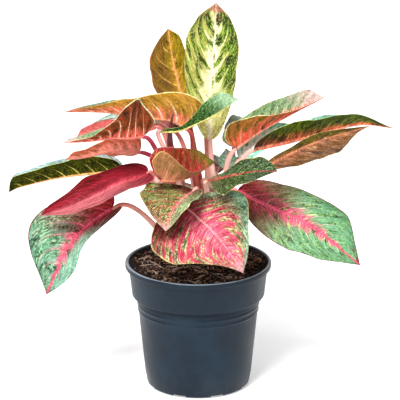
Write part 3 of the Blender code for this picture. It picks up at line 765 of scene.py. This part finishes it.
def pot_material():
    s = Shader("pot_plastic_satin", 0.4, 0.18)
    place = s.place()
    x, y, z = s.split(place)
    cloud = s.noise(place, 30, 4.0, 0.6)
    rub = s.noise(s.join(x * 260, y * 260, z * 22), 1.0, 3.0, 0.6)
    colour = s.mix(s.ease(cloud, 0.35, 0.7), "111d29", "172836")
    dust = s.ease(z, 0.0, 0.03, 0.35, 0.0) * s.ease(cloud, 0.4, 0.7)
    colour = s.mix(dust, colour, "3c4146")
    scuffs = s.ease(s.noise(place, 160, 5.0, 0.7), 0.62, 0.78, 0.0, 0.25)
    colour = s.mix(scuffs, colour, "3a4854")
    # Painted highlight: a pale line along the top of the lip, with a slightly uneven lower edge
    height = z + (cloud - 0.5) * 0.0012
    lip_highlight = s.ease(height, (POT_HEIGHT - LIP_HIGHLIGHT_DEPTH) * MM, POT_HEIGHT * MM, 0.0, 0.9)
    colour = s.mix(lip_highlight, colour, "909ca8")
    s.bump(s.noise(place, 2600, 2.0, 0.5) * 0.4 + rub * 0.5, 0.00012, 0.35)
    s.roughness(s.ease(cloud + rub * 0.4, 0.45, 0.95, 0.33, 0.5))
    return s.colour(colour)


def soil_material(name, dark, mid, light, share, own_tones):
    """Peat, or bits of it. With own_tones, some of the bits are lighter than the rest."""
    s = Shader(name, 0.9, 0.25)
    place = s.place()
    clumps = s.noise(place, 120, 5.0, 0.7)
    fine = s.noise(place, 900, 4.0, 0.7)
    colour = s.mix(s.ease(clumps * 0.5 + fine * 0.5, 0.36, 0.56), dark, mid)
    colour = s.mix(s.ease(fine, 0.6, 0.72, 0.0, share), colour, light)
    if own_tones:
        own, _, _ = s.split(s.attribute("place"))
        colour = s.mix(s.ease(own, 0.6, 1.0, 0.0, 0.85), colour, light)
    s.bump(fine * 0.7 + clumps, 0.0006, 0.8)
    return s.colour(colour)


# Leaf colours. See leaf_material for what each entry means
PATTERNS = {
    "pink_top": dict(
        core="e86c84", outer="d44860", second="e06c7c", core_mm=10, feather=0.7, light=("f2b4a8", 0.6),
        green=("7c9444", "b0a04c"), spread=(-0.16, 0.44, 0.0, 0.0), grain=2.2, stretch=2.6,
        fleck=("f0dca0", 0.7), specks=("ecdcac", 0.03), vein=("a82440", 0.6, 0.12), rib=("f0a8a0", 1.1),
        edge=("d8c484", 0.035), base=("680814", 0.5), tip=("f4b8b4", 0.16), rough=0.38),
    "green_top": dict(
        core="e06484", outer="8cbc9c", second="60a07c", core_mm=10.5, feather=1.0,
        light=("d8dcc0", 0.6), green=("28643c", "88a860"), spread=(0.04, 0.12, 0.0, 0.0), grain=2.2,
        stretch=2.6, depth=0.75, fleck=("d0d494", 0.45), specks=("dce0b4", 0.02),
        vein=("cc8c84", 0.45, 0.1), rib=("ec6c88", 1.8), edge=("8c2434", 0.035), base=("8c0820", 0.6),
        tip=("b02848", 0.06), rough=0.34),
    "crimson_top": dict(
        core="b82c44", outer="94101f", second="780812", core_mm=9, light=("e8909a", 0.5),
        green=("5c0c10", "742018"), spread=(-0.2, 0.1, 0.0, 0.0), vein=("dc6c7c", 0.3, 0.12),
        rib=("cc4c60", 1.2), edge=("c87c84", 0.03), contrast=0.5, rough=0.4),
    "lime_top": dict(
        core="f4ecc0", outer="ccc870", second="8ca030", core_mm=8.0, feather=0.9, light=("f4f0c4", 0.5),
        green=("164002", "5c8010"), spread=(-0.03, 0.24, 0.26, -0.18), grain=1.4, stretch=2.0,
        depth=0.95, fleck=("e4dc90", 0.35), specks=("f0e8b0", 0.05), vein=("f4f0c4", 0.8, 0.09),
        rib=("f8ecd0", 1.7), edge=("dccc90", 0.03), base=("e8e094", 0.5), tip=("dc9880", 0.06),
        contrast=0.5, rough=0.4),
    "dark_top": dict(
        core="b44c58", outer="2c5c24", second="143c0c", core_mm=1.8, light=("a8b890", 0.4),
        green=("0c2404", "2c6c24"), spread=(0.1, 0.0, 0.0, 0.0), grain=1.2, stretch=1.4, depth=0.85,
        fleck=("a4b48c", 0.2), specks=("e4e8d4", 0.085), vein=("8ca478", 0.2, 0.1), rib=("c85c68", 1.1),
        edge=("e8e0b8", 0.06), tint=(0.95, 0.92, 0.72), contrast=0.8, rough=0.26, gloss=0.35),
    "mottled_top": dict(
        core="d85060", outer="a06030", second="68702c", core_mm=3.5, feather=1.0,
        light=("e0c89c", 0.45), green=("1c3c0c", "6c9040"), spread=(0.24, 0.14, -0.2, 0.1), grain=3.0,
        stretch=3.6, depth=0.95, fleck=("dcd8a0", 0.35), specks=("e8e4c8", 0.1),
        vein=("d0905c", 0.3, 0.1), rib=("ec9ca0", 1.1), edge=("ece0b0", 0.05), base=("6c1c10", 0.22),
        tip=("f4c0bc", 0.18), contrast=0.5, rough=0.34),
    "teal_top": dict(
        core="c4dccc", outer="8cc0a8", second="5c9c80", core_mm=4, feather=0.8, light=("cfe4d4", 0.6),
        green=("2f6a48", "5f985c"), spread=(0.04, 0.06, 0.0, 0.0), grain=1.5, depth=0.7,
        vein=("d8e8d8", 0.6, 0.1), rib=("e4ccc0", 1.1), edge=("d4e0c8", 0.03), rough=0.24, gloss=0.5),
    "salmon_top": dict(
        core="e89080", outer="d06c5c", second="b04c3c", core_mm=8, feather=0.6, light=("f0b4a4", 0.5),
        green=("94582c", "6c6030"), spread=(-0.08, 0.12, 0.0, 0.0), depth=0.7,
        vein=("eca898", 0.4, 0.12), rib=("f0b8ac", 1.3), edge=("e4b49c", 0.03), rough=0.38),
    "pale_top": dict(
        core="e8a89c", outer="9cb88c", second="6c9c68", core_mm=5, feather=1.1, light=("e0dcc0", 0.6),
        green=("4c8048", "a0a874"), spread=(0.06, 0.1, -0.15, 0.0), stretch=1.5, depth=0.8,
        vein=("ecc0b4", 0.4, 0.13), rib=("ecb8b0", 1.3), edge=("ecdcc0", 0.04), tip=("f2ccc8", 0.36),
        rough=0.32),
    "olive_under": dict(
        core="d08440", outer="a87818", second="8c6410", core_mm=6, feather=0.6, light=("cc9c48", 0.5),
        green=("5c4c08", "7c6414"), spread=(0.06, 0.08, 0.0, 0.0), blur=0.1, depth=0.75,
        vein=("ecc488", 0.85, 0.11), rib=("eca880", 1.5), edge=("f0dca0", 0.04), rough=0.5),
    "maroon_under": dict(
        core="e4685c", outer="a44c28", second="7c3814", core_mm=6, feather=0.8, light=("b0603c", 0.5),
        green=("2c1c04", "74401c"), spread=(0.1, 0.1, 0.0, 0.0), blur=0.1, depth=0.85,
        vein=("e0a488", 0.8, 0.11), rib=("e08078", 1.6), edge=("ece0bc", 0.055), contrast=0.5,
        rough=0.48),
    "green_under": dict(
        core="4c4c0a", outer="383a04", second="2c3002", core_mm=4, light=("6c6c1c", 0.5),
        green=("181c00", "4c5010"), spread=(0.08, 0.05, 0.0, 0.0), blur=0.1, depth=0.75,
        vein=("e4d88c", 0.9, 0.08), rib=("e8a878", 1.9), edge=("c0c088", 0.03), rough=0.45),
    "salmon_under": dict(
        core="ec8068", outer="cc6438", second="a84c24", core_mm=7, feather=0.8, light=("e8a07c", 0.5),
        green=("6c4c10", "905820"), spread=(0.06, 0.14, 0.0, 0.0), blur=0.1, depth=0.8,
        vein=("f0ac90", 0.5, 0.11), rib=("f09c88", 1.6), edge=("f4e0b0", 0.05), rough=0.48),
    "beige_under": dict(
        core="cc8c64", outer="b88050", second="9c6c3c", core_mm=7, light=("d8a880", 0.5),
        green=("4c6c1c", "7c7c34"), spread=(-0.08, 0.0, -0.25, 0.0), blur=0.1, depth=0.85,
        vein=("dcb08c", 0.5, 0.1), rib=("dca488", 1.4), edge=("d8c48c", 0.05), rough=0.5),
    "dusty_under": dict(
        core="c8746c", outer="8c8454", second="747c44", core_mm=7, feather=0.9, light=("c8a480", 0.5),
        green=("546430", "747c44"), spread=(0.05, 0.1, 0.0, 0.0), blur=0.1, depth=0.7,
        vein=("d8a088", 0.6, 0.11), rib=("e09c8c", 1.7), edge=("d0ac90", 0.03), rough=0.5),
}


def pattern(name, **changes):
    return {**PATTERNS[name], **changes}


# upper side, under side, side veins along the blade, and how far a vein runs ahead by the margin
LOOKS = {
    "top_tall": (pattern("lime_top"), pattern("olive_under"), 7, 0.36),
    "top_olive": (
        pattern("lime_top"),
        pattern("olive_under", core="c09430", outer="a88c14", second="8c7c10",
                vein=("e8b87c", 0.8, 0.08), edge=("d08c74", 0.055), right=("7c5028", 0.7, 0.0),
                tint=(1.07, 1.18, 1.0)), 6, 0.3),
    "left_high": (
        pattern("green_top"),
        pattern("olive_under", core="f08c70", outer="d09c40", second="b08424", core_mm=9,
                light=("f0bc78", 0.35), green=("74600c", "94741c"), depth=0.55,
                vein=("fce4bc", 1.0, 0.1), tint=(1.03, 1.1, 1.2)), 9, 0.16),
    "left_folded": (
        pattern("pale_top", core="f0c4b8"),
        pattern("maroon_under", vein=("e8c0a8", 0.85, 0.1), tint=(1.25, 1.5, 1.45)), 9, 0.16),
    "left_salmon": (
        pattern("salmon_top"),
        pattern("salmon_under", core="f8a08c", outer="e47c64", second="c85c44",
                green=("84642c", "9c7038"), depth=0.6, tint=(1.0, 1.03, 1.1), contrast=0.5), 8, 0.2),
    "left_red": (
        pattern("crimson_top", core="d86c68", outer="cc5c54", second="b44844",
                green=("94342c", "b05848"), tint=(1.0, 1.35, 1.35)),
        pattern("salmon_under"), 7, 0.2),
    # Painted light: left_teal's colours are made paler, to make up for the shade it stands in
    "left_teal": (
        pattern("teal_top", core="dce8e0", outer="bcd8cc", second="94bcac"),
        pattern("dusty_under"), 7, 0.2),
    "left_long": (
        pattern("teal_top", core="d8e4ea", outer="ccdce2", second="a8c8d0"),
        pattern("green_under", vein=("dccc98", 0.7, 0.07), rib=("e0a890", 1.9), tint=(1.4, 1.4, 0.9),
                gloss=0.04), 8, 0.14),
    # left_crimson: the pale pink over its left half is partly the leaf's own colour and partly painted
    # sheen
    "left_crimson": (
        pattern("crimson_top", light=("e8909a", 0.25), vein=("c84c60", 0.3, 0.12),
                left=("f4909c", 0.75, -0.1), tint=(0.82, 0.93, 0.86), contrast=0.35, folds=1.2),
        pattern("dusty_under"), 10, 0.34),
    "left_hanging": (
        pattern("green_top", core="e86c88", outer="98c4ac", second="4c8864", core_mm=8, feather=1.2,
                taper=0.15, light=("e4c4bc", 0.45), green=("1c5430", "6c9c74"),
                spread=(0.1, 0.16, 0.0, -0.1), grain=1.0, stretch=2.2, fleck=("c8e0cc", 0.3),
                vein=("e87c90", 0.4, 0.2), base=("b00828", 0.66), left=("98c4ac", 0.8, 0.15)),
        pattern("beige_under", core="98584a", outer="7a5038"), 8, 0.32),
    "centre_cupped": (
        pattern("crimson_top", core="c42440", outer="a81424", second="881014", light=("f49488", 0.6),
                green=("a47820", "4c5c14"), spread=(-0.14, 0.15, 0.3, 0), grain=2.4, stretch=3.0,
                blur=0.16, depth=0.75, specks=("e0b064", 0.05), tip=("74802c", 0.36)),
        pattern("beige_under", core="b4886c", outer="a4845c", second="8c7848",
                left=("7c8c34", 0.8, 0.1), tint=(1.03, 0.85, 0.8), contrast=0.4), 7, 0.18),
    "centre_mottled": (
        pattern("mottled_top", left=("c4dcb8", 0.35, -0.1)),
        pattern("dusty_under"), 8, 0.3),
    "front_pink": (
        pattern("pink_top", core_mm=12, green=("6c9458", "a8a464"), spread=(-0.08, 0.42, 0.0, 0.12),
                grain=1.3, fleck=("ecd4b8", 0.5), left=("80b49c", 0.65, 0.55), tint=(0.98, 1.1, 1.15)),
        pattern("dusty_under"), 10, 0.36),
    "front_green": (pattern("dark_top", base=("b08c80", 0.3)), pattern("dusty_under"), 7, 0.34),
    "right_low": (
        pattern("green_top", outer="88bc90", core_mm=10, taper=0.05, grain=1.5, fleck=("c8d8a0", 0.25),
                left=("2c5c34", 0.5, 0.6)),
        pattern("dusty_under"), 10, 0.36),
    "right_high": (
        pattern("pale_top", core="e8847c", core_mm=6),
        pattern("salmon_under", core="f06050", outer="b87430", second="985c1c", core_mm=9,
                light=("e08c64", 0.3), green=("5c440c", "7c641c"), tint=(1.25, 1.45, 1.45)), 9, 0.18),
    "right_long": (
        pattern("teal_top"),
        pattern("green_under", core="dc5c58", outer="606008", second="3c3c02", core_mm=6.5,
                light=("b09c34", 0.6), green=("140c00", "4c4c08"), vein=("e0a868", 0.5, 0.07),
                rib=("f48080", 3.0), base=("341004", 0.3), tint=(1.0, 1.45, 0.95), contrast=0.8),
        11, 0.14),
    "right_brown": (
        pattern("salmon_top", core="c07c64", outer="a86c58", second="945c44"),
        pattern("salmon_under", core="d48c78", outer="b87c5c", second="94642c", light=("ecd0b8", 0.6),
                right=("706414", 0.9, -0.1), tint=(0.8, 0.86, 0.66), contrast=0.8), 9, 0.18),
    # Painted light: right_teal's colours are made paler and tinted up, to make up for the shade of the
    # leaves above it
    "right_teal": (
        pattern("teal_top", core="e8fff4", outer="b4fcdc", second="88e4bc", vein=("ffffff", 0.8, 0.12),
                tint=(1.15, 1.3, 1.25)),
        pattern("dusty_under"), 7, 0.2),
    "right_small": (
        pattern("teal_top", outer="a4e0c0", second="7cbc94", specks=("f4ece4", 0.06)),
        pattern("teal_top", outer="94c8a8", specks=("f4ece4", 0.06)), 6, 0.2),
    "crossing": (
        pattern("dark_top", tip=("b4dcc8", 0.4)),
        pattern("dark_top", core="3c7028", outer="346828", second="1c4c14", core_mm=1,
                green=("143c08", "5c9c50"), fleck=("a4b48c", 0.1), specks=("d8e8d0", 0.03),
                vein=("a0c898", 0.3, 0.1), rib=("f0e8a8", 1.4), edge=("90a878", 0.04),
                tip=("c4ecdc", 0.4), tint=(1.2, 1.1, 0.85), contrast=0.55, gloss=0.2), 8, 0.2),
    "back_tall": (pattern("green_top", core_mm=10), pattern("dusty_under"), 9, 0.32),
    "back_left": (pattern("pink_top", spread=(0.08, 0.25, 0, 0)), pattern("salmon_under"), 9, 0.32),
    "back_right": (pattern("green_top"), pattern("dusty_under"), 9, 0.32),
    "back_side": (pattern("mottled_top", core_mm=9), pattern("olive_under"), 9, 0.32),
    "back_low": (pattern("pink_top", spread=(0.05, 0.3, 0, 0)), pattern("dusty_under"), 9, 0.32),
}

# foot, top and streak colours of the stalks
STALK_TONES = {
    "pale": ("ecc8b4", "e8aca0", "c07868"),
    "pink": ("e8b0a0", "dc8478", "b05048"),
    "red": ("bc5044", "b03c38", "7c2024"),
    "crimson": ("cc6c68", "bc3c54", "8c1c34"),
}
STALK_TONE_OF = {              # the others are pink
    **dict.fromkeys(("left_high", "top_olive"), "red"),
    **dict.fromkeys(("left_folded", "left_salmon"), "crimson"),
    **dict.fromkeys(("top_tall", "centre_mottled", "centre_cupped", "front_green", "right_high",
                     "right_long", "right_brown", "right_teal", "crossing"), "pale"),
}


# Stalks, canes and the rolled leaf

def stalk_route(spec):
    """The stalk's centre line, from inside its cane's edge to under the blade's first stretch."""
    cane, share, compass, bend = spec["stalk"]
    foot, top, radius = CANES[cane]
    start = np.array([*foot, SOIL_HEIGHT], float)
    on_cane = start + (np.array(top, float) - start) * share
    outward = np.array([cos(radians(compass)), sin(radians(compass)), 0.0])
    base = np.array(spec["rib"][0], float)
    along = unit(np.array(spec["rib"][1], float) - base)
    before = base - along * spec.get("run_in", STALK_RUN_IN)
    line = bezier((on_cane + outward * (radius + STALK_FOOT_RADIUS), bend, before, base), STALK_STEPS)
    lead = bezier((on_cane + outward * radius * 0.35 - np.array([0, 0, 5.0]), line[0]), 5)[:-1]
    return np.vstack([lead, line, [base + along * 2.0 - [0, 0, 0.3]]])


def build_stalk(name, spec, material):
    """A leaf stalk that widens to a clasping sheath at its foot, with a shallow channel above."""
    def radius_of(share, angle):
        sheath = np.clip(1 - share / SHEATH_SHARE, 0, 1) ** 1.5
        body = STALK_FOOT_RADIUS + (STALK_TIP_RADIUS - STALK_FOOT_RADIUS) * share
        wing = 1 + sheath * (0.25 + 0.3 * np.cos(angle) ** 2)
        channel = 1 - 0.16 * bell(angle - pi / 2, 0.55) * (1 - sheath)
        joint = 1 - 0.35 * np.clip((share - 0.93) / 0.07, 0, 1)
        return body * wing * channel * joint

    piece = sweep(f"stalk_{name}_skin", stalk_route(spec), radius_of, STALK_SIDES, material)
    attach(piece, f"stalk_{name}")


def build_cane(cane, material):
    """A short upright stem with a ridge and a pale scar where each old leaf came off."""
    foot, top, radius = CANES[cane]
    start, end = np.array([*foot, SOIL_HEIGHT - CANE_IN_SOIL]), np.array(top, float)
    length = np.linalg.norm(end - start)
    rings = int(length / CANE_RING_SPACING)

    def radius_of(share, angle):
        beat = share * rings + CANE_RING_TILT * np.cos(angle)
        off = np.abs(beat - np.round(beat)) * length / rings
        ridge = sum(height * bell(off - middle, spread) for height, middle, spread in CANE_RIDGE)
        ribbed = 0.12 * np.sin(5 * angle + 9 * share) + 0.1 * np.sin(9 * angle)
        crown = np.sqrt(np.clip((1 - share) / 0.035, 0, 1))
        return (radius + ridge + ribbed) * (0.25 + 0.75 * crown)

    route = np.linspace(start, end, int(length * CANE_ROWS_PER_MM))
    attach(sweep(f"cane_{cane}_bark", route, radius_of, CANE_SIDES, material), f"cane_{cane}")


def build_spear(material):
    """The newest leaf, still rolled: the free edge winds once round the spindle."""
    def radius_of(share, angle):
        body = np.interp(share, np.linspace(0, 1, len(SPEAR_RADII)), SPEAR_RADII)
        wind = np.mod(angle / (2 * pi) + 0.9 * share, 1.0)
        return body * (0.86 + 0.2 * wind)

    route = bezier(SPEAR_ROUTE, SPEAR_STEPS)
    settle(sweep("spear_leaf", route, radius_of, SPEAR_SIDES, material), "spear")


# Pot and soil

def turned(profile, steps):
    """Points of (radius, height) pairs turned about the axis, ring after ring."""
    angles = np.linspace(0, 2 * pi, steps, endpoint=False)
    return [(radius * cos(a), radius * sin(a), height) for radius, height in profile for a in angles]


def lathe(name, profile, steps, material):
    """A closed turned body from (radius, height) in mm, with both ends on the axis."""
    points = [(0.0, 0.0, profile[0][1]), *turned(profile[1:-1], steps), (0.0, 0.0, profile[-1][1])]
    return make_mesh(name, points, tube_faces(len(profile) - 2, steps, 1, 0, len(points) - 1), [material])


def arc(centre, radius, start, end, steps):
    """(radius, height) pairs on an arc between two angles in degrees."""
    return [(centre[0] + radius * cos(radians(a)), centre[1] + radius * sin(radians(a)))
            for a in np.linspace(start, end, steps)]


def outer_radius(height):
    """Of the tapered body's outside at a height."""
    share = (height - BODY_FOOT_HEIGHT) / (BODY_TOP_HEIGHT - BODY_FOOT_HEIGHT)
    return BODY_FOOT_RADIUS + share * (BODY_TOP_RADIUS - BODY_FOOT_RADIUS)


def points_by(radius, height, *offsets):
    """(radius, height) pairs, given by how far out and up they lie from one place."""
    return [(radius + out, height + up) for out, up in offsets]


def pot_profile():
    """(radius, height) from the floor inside, up, over the lip, down the outside and under."""
    inside = [(0.0, WALL), (FLOOR_CENTRE, WALL), (FOOT_RADIUS - 2.0, WALL)]
    inside += arc((FOOT_RADIUS - 2.0, WALL + 2.2), 2.2, -90, -20, 5)[1:]
    inside += [(outer_radius(h) - WALL, h) for h in np.linspace(BODY_FOOT_HEIGHT, BODY_TOP_HEIGHT, 8)]
    inside += points_by(BAND_FOOT_RADIUS - WALL, BAND_FOOT_HEIGHT, (-1.2, 0.5), (-0.3, 1.2), (0.0, 2.4))
    inside += points_by(BAND_TOP_RADIUS - WALL, LIP_FOOT_HEIGHT, (0.0, 0.0), (0.2, 2.0))
    lip = points_by(LIP_RADIUS, POT_HEIGHT, (-3.0, -0.5), (-2.0, -0.05))
    lip += arc((LIP_RADIUS - 1.1, POT_HEIGHT - 1.1), 1.1, 90, 0, 6)
    lip += [(LIP_RADIUS, POT_HEIGHT - 3.4)]
    lip += arc((LIP_RADIUS - 0.6, POT_HEIGHT - 3.6), 0.6, 0, -90, 4)
    lip += [(LIP_RADIUS - 1.4, LIP_FOOT_HEIGHT), (BAND_TOP_RADIUS + 0.25, LIP_FOOT_HEIGHT - 0.5)]
    band_ends = (BAND_TOP_RADIUS, LIP_FOOT_HEIGHT - 1.5), (BAND_FOOT_RADIUS, BAND_FOOT_HEIGHT + 1.6)
    band = [tuple(pair) for pair in np.linspace(*band_ends, 7)]
    band += arc((BAND_FOOT_RADIUS - 1.2, BAND_FOOT_HEIGHT + 1.2), 1.2, 0, -80, 5)[1:]
    ledge = points_by(BODY_TOP_RADIUS, BODY_TOP_HEIGHT, (1.6, 1.2), (-0.2, 0.9), (-0.4, 0.2), (0.0, -0.8))
    body = []
    for ring in RING_HEIGHTS:
        for off in (1.7, 1.1, 0.6, 0.0, -0.6, -1.1, -1.7):
            proud = RING_PROUD * cos(radians(75 * off)) ** 0.8 if abs(off) < 1.2 else 0.0
            body.append((outer_radius(ring + off) + proud, ring + off))
    body += [(outer_radius(h), h) for h in np.linspace(58, BODY_FOOT_HEIGHT + 2, 7)]
    foot = [(BODY_FOOT_RADIUS - 0.3, BODY_FOOT_HEIGHT), (FOOT_RADIUS + 1.6, 3.4)]
    foot += arc((FOOT_RADIUS - 1.2, 2.4), 2.4, 0, -90, 6)
    foot += [(FLOOR_CENTRE, 0.0), (0.0, 0.0)]
    return inside + lip + band + ledge + body + foot


def build_pot(material):
    """The pot's turned wall, with drain notches where the foot meets the floor."""
    pot = lathe("pot_wall", pot_profile(), POT_STEPS, material)
    for k in range(NOTCHES):
        turn = 2 * pi * (k + 0.5) / NOTCHES
        bpy.ops.mesh.primitive_cube_add(size=1.0)
        cutter = bpy.context.active_object
        cutter.scale = [value * MM for value in NOTCH_SIZE]
        cutter.rotation_euler[2] = turn
        cutter.location = (FOOT_RADIUS * MM * cos(turn), FOOT_RADIUS * MM * sin(turn), 0.0)
        bpy.context.view_layer.update()
        cut = pot.modifiers.new("notch", "BOOLEAN")
        cut.object, cut.operation, cut.solver = cutter, "DIFFERENCE", "EXACT"
        cut_pot = pot.evaluated_get(bpy.context.evaluated_depsgraph_get())
        finished = bpy.data.meshes.new_from_object(cut_pot)
        pot.modifiers.clear()
        pot.data = finished
        bpy.data.objects.remove(cutter)
    attach(pot, "pot")


def soil_height(x, y):
    """How far the soil's surface stands above its level, in mm."""
    height = SOIL_RIM_RISE * (np.hypot(x, y) / BAND_TOP_RADIUS) ** 8
    for size, fineness, shift in SOIL_LUMPS:
        height += size * noise.noise(Vector((x * fineness + shift[0], y * fineness + shift[1], 0.0)))
    for size, spread, middle in SOIL_MOUNDS:
        height += size * bell(np.hypot(x - middle[0], y - middle[1]), spread)
    return height


def build_soil(material):
    """The peat's rough top inside the pot, closed underneath along the pot's inner wall."""
    low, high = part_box("soil")
    level, floor, rim = high.z / MM, low.z / MM, high.x / MM
    shares = np.arange(1, SOIL_ROWS + 1) / SOIL_ROWS
    surface = turned([((rim + 1.0) * share ** 0.85, level) for share in shares], SOIL_STEPS)
    wall = [
        (rim - 0.9, BAND_FOOT_HEIGHT + 3), (BODY_TOP_RADIUS - WALL - 0.3, BODY_TOP_HEIGHT - 1),
        (BODY_FOOT_RADIUS - WALL - 0.3, BODY_FOOT_HEIGHT), (FOOT_RADIUS - 3.0, floor)]
    points = [(x, y, z + soil_height(x, y)) for x, y, z in [(0.0, 0.0, level), *surface]]
    points += [*turned(wall, SOIL_STEPS), (0.0, 0.0, floor)]
    faces = tube_faces(SOIL_ROWS + len(wall), SOIL_STEPS, 1, 0, len(points) - 1)
    attach(make_mesh("soil_peat", points, turned_over(faces), [material]), "soil")
    return level, rim


def scatter(name, count, shape_of, rng, level, rim, material):
    """Joins many small bodies, laid at random on the soil, into one piece."""
    points, faces, tones = [], [], []
    placed = 0
    while placed < count:
        x, y = rng.uniform(-rim, rim, 2)
        body, quads, size = shape_of(rng)
        if np.hypot(x, y) > rim - size:
            continue
        body = body + [x, y, level + soil_height(x, y)]
        faces += [[i + len(points) for i in face] for face in quads]
        points += list(body)
        tones += [(*rng.random(2), 0.0)] * len(body)
        placed += 1
    attach(make_mesh(name, points, faces, [material], vectors={"place": tones}))


def ball():
    """Points and faces of a coarse round body with a radius of 1."""
    made = bmesh.new()
    bmesh.ops.create_icosphere(made, subdivisions=1, radius=1.0)
    points = np.array([vertex.co for vertex in made.verts])
    faces = [[vertex.index for vertex in face.verts] for face in made.faces]
    made.free()
    return points, faces


def turned_points(points, rng, lean):
    """Points turned at random about Z, and by up to lean radians out of level."""
    spin = Matrix.Rotation(rng.uniform(0, 2 * pi), 3, "Z")
    for axis in "XY":
        spin = spin @ Matrix.Rotation(rng.uniform(-lean, lean), 3, axis)
    return points @ np.array(spin).T


def crumb(rng):
    """A rough round bit of peat, as (points, faces, size)."""
    points, faces = BALL
    size = CRUMB_SIZES[0] + (CRUMB_SIZES[1] - CRUMB_SIZES[0]) * rng.random() ** 2.5
    points = points * (1 + 0.28 * rng.standard_normal((len(points), 1)).clip(-1.5, 1.5))
    points = points * size * rng.uniform((0.8, 0.6, 0.5), (1.4, 1.1, 0.9))
    return turned_points(points, rng, 1.2) + [0, 0, 0.25 * size], faces, size


def rod_faces(rings):
    """Faces of a closed four-sided rod."""
    return ring_faces(rings, 4) + [(3, 2, 1, 0), tuple(range(4 * rings - 4, 4 * rings))]


def fibre(rng):
    """A thin bowed fibre, pointed at both ends, as (points, faces, size)."""
    length = rng.uniform(*FIBRE_LENGTHS)
    t = np.linspace(-0.5, 0.5, FIBRE_RINGS)
    bow = rng.uniform(-0.5, 0.5) * length * t ** 2
    lift = rng.uniform(0.1, 0.9) + rng.uniform(-0.2, 1.2) * np.cos(pi * t)
    centre = np.stack([t * length, bow + 0.4 * np.sin(7 * t + rng.uniform(0, 6)), lift], axis=1)
    radius = rng.uniform(*FIBRE_RADII) * np.sin(pi * (np.arange(FIBRE_RINGS) + 0.6) / (FIBRE_RINGS + 0.2))
    corners = np.array([(0, 1, 0), (0, 0, 1), (0, -1, 0), (0, 0, -1)])
    points = (centre[:, None] + radius[:, None, None] * corners).reshape(-1, 3)
    return turned_points(points, rng, 0.25), turned_over(rod_faces(FIBRE_RINGS)), length / 2


def chip(rng):
    """A flat splinter of bark with uneven edges, as (points, faces, size)."""
    long, wide, thick = (rng.uniform(*sizes) for sizes in CHIP_SIZES)
    t = np.linspace(-1, 1, CHIP_RINGS)
    half = wide * (1 - 0.55 * np.abs(t) ** 3) * rng.uniform(0.7, 1.15, CHIP_RINGS) / 2
    rows = []
    for along, side in zip(t, half):
        x, low = along * long / 2, 0.25 * along ** 2
        rows += [(x, -side, low), (x, side, low)]
        rows += [(x, side * 0.85, thick + low), (x, -side * 0.85, thick + low)]
    points = np.array(rows) + rng.normal(0, 0.06, (4 * CHIP_RINGS, 3))
    return turned_points(points, rng, 0.45) + [0, 0, 0.4], rod_faces(CHIP_RINGS), long / 2


# Build

for index, (name, spec) in enumerate(LEAVES.items()):
    upper, lower, veins, sweep_ahead = LOOKS[name]
    upper, lower = leaf_material(f"{name}_upper", **upper), leaf_material(f"{name}_under", **lower)
    build_blade(name, spec, index + 1, (upper, lower, veins, sweep_ahead))
stalk_skins = {tone: stalk_material(f"stalk_{tone}", *codes) for tone, codes in STALK_TONES.items()}
for name, spec in LEAVES.items():
    build_stalk(name, spec, stalk_skins[STALK_TONE_OF.get(name, "pink")])
bark = cane_material()
for cane in CANES:
    build_cane(cane, bark)
build_spear(spear_material())

build_pot(pot_material())
level, rim = build_soil(soil_material("soil_peat", "060302", "1c0f09", "5c4232", 0.4, False))
BALL = ball()
# Name, how many, shape, then the dark, middle and light colours and how much of the light one
LITTER = (
    ("soil_crumbs", 1300, crumb, "060201", "1c0f09", "a48470", 0.35),
    ("soil_fibres", 400, fibre, "34201a", "8c6450", "f0dcc8", 0.5),
    ("soil_chips", 70, chip, "38221a", "6c4c3a", "dcc0aa", 0.45),
)
rng = np.random.default_rng(LITTER_SEED)
for name, count, shape_of, *tones in LITTER:
    scatter(name, count, shape_of, rng, level, rim, soil_material(name, *tones, True))


# Floor, light and camera

def stage_floor():
    bpy.ops.mesh.primitive_grid_add(x_subdivisions=8, y_subdivisions=8, size=30.0, location=(0, 0, -0.0005))
    floor = bpy.context.active_object
    floor.name = "floor"
    s = Shader("floor_paper", 0.9, 0.1)
    speck = s.noise(s.place(), 40, 2.0, 0.5)
    s.feed(s.surface.inputs["Emission Color"], "ffffff")
    s.feed(s.surface.inputs["Emission Strength"], 0.4)
    floor.data.materials.append(s.colour(s.mix(s.ease(speck, 0.3, 0.7), "f4f4f4", "f8f8f8")))


def area_light(name, place, aim_height, size, power, tint=(1.0, 1.0, 1.0)):
    """A round lamp aimed at the pot's axis at a given height."""
    data = bpy.data.lights.new(name, "AREA")
    data.shape, data.size, data.energy, data.color = "DISK", size, power, tint
    lamp = add_object(name, data)
    lamp.location = place
    aim = Vector((0, 0, aim_height)) - lamp.location
    lamp.rotation_euler = aim.to_track_quat("-Z", "Y").to_euler()


stage_floor()
key = add_object("key", bpy.data.lights.new("key", "SUN"))
key.data.energy, key.data.angle = 3.6, radians(20)
key.rotation_euler = (radians(38), radians(-20), 0)
area_light("overhead", (0.1, -0.15, 1.3), 0.2, 0.9, 7, (0.93, 0.97, 1.0))
area_light("front_left", (-1.3, -1.7, 0.9), 0.18, 1.0, 7)
area_light("front_right", (1.5, -1.4, 0.8), 0.18, 1.0, 4)
area_light("back", (0.2, 1.6, 0.9), 0.2, 1.0, 5)

world = bpy.data.worlds.new("studio")
bpy.context.scene.world = world
world.use_nodes = True
background = world.node_tree.nodes["Background"]
background.inputs["Color"].default_value = (1, 1, 1, 1)
background.inputs["Strength"].default_value = 0.2
bpy.context.scene.view_settings.view_transform = "Standard"

camera = add_object("camera", bpy.data.cameras.new("camera"))
camera.data.sensor_width = 36.0
camera.data.lens = 308.7
camera.location = (0.0015, -2.6615, 1.0274)
camera.rotation_euler = (radians(71.9), 0, 0)
bpy.context.scene.camera = camera
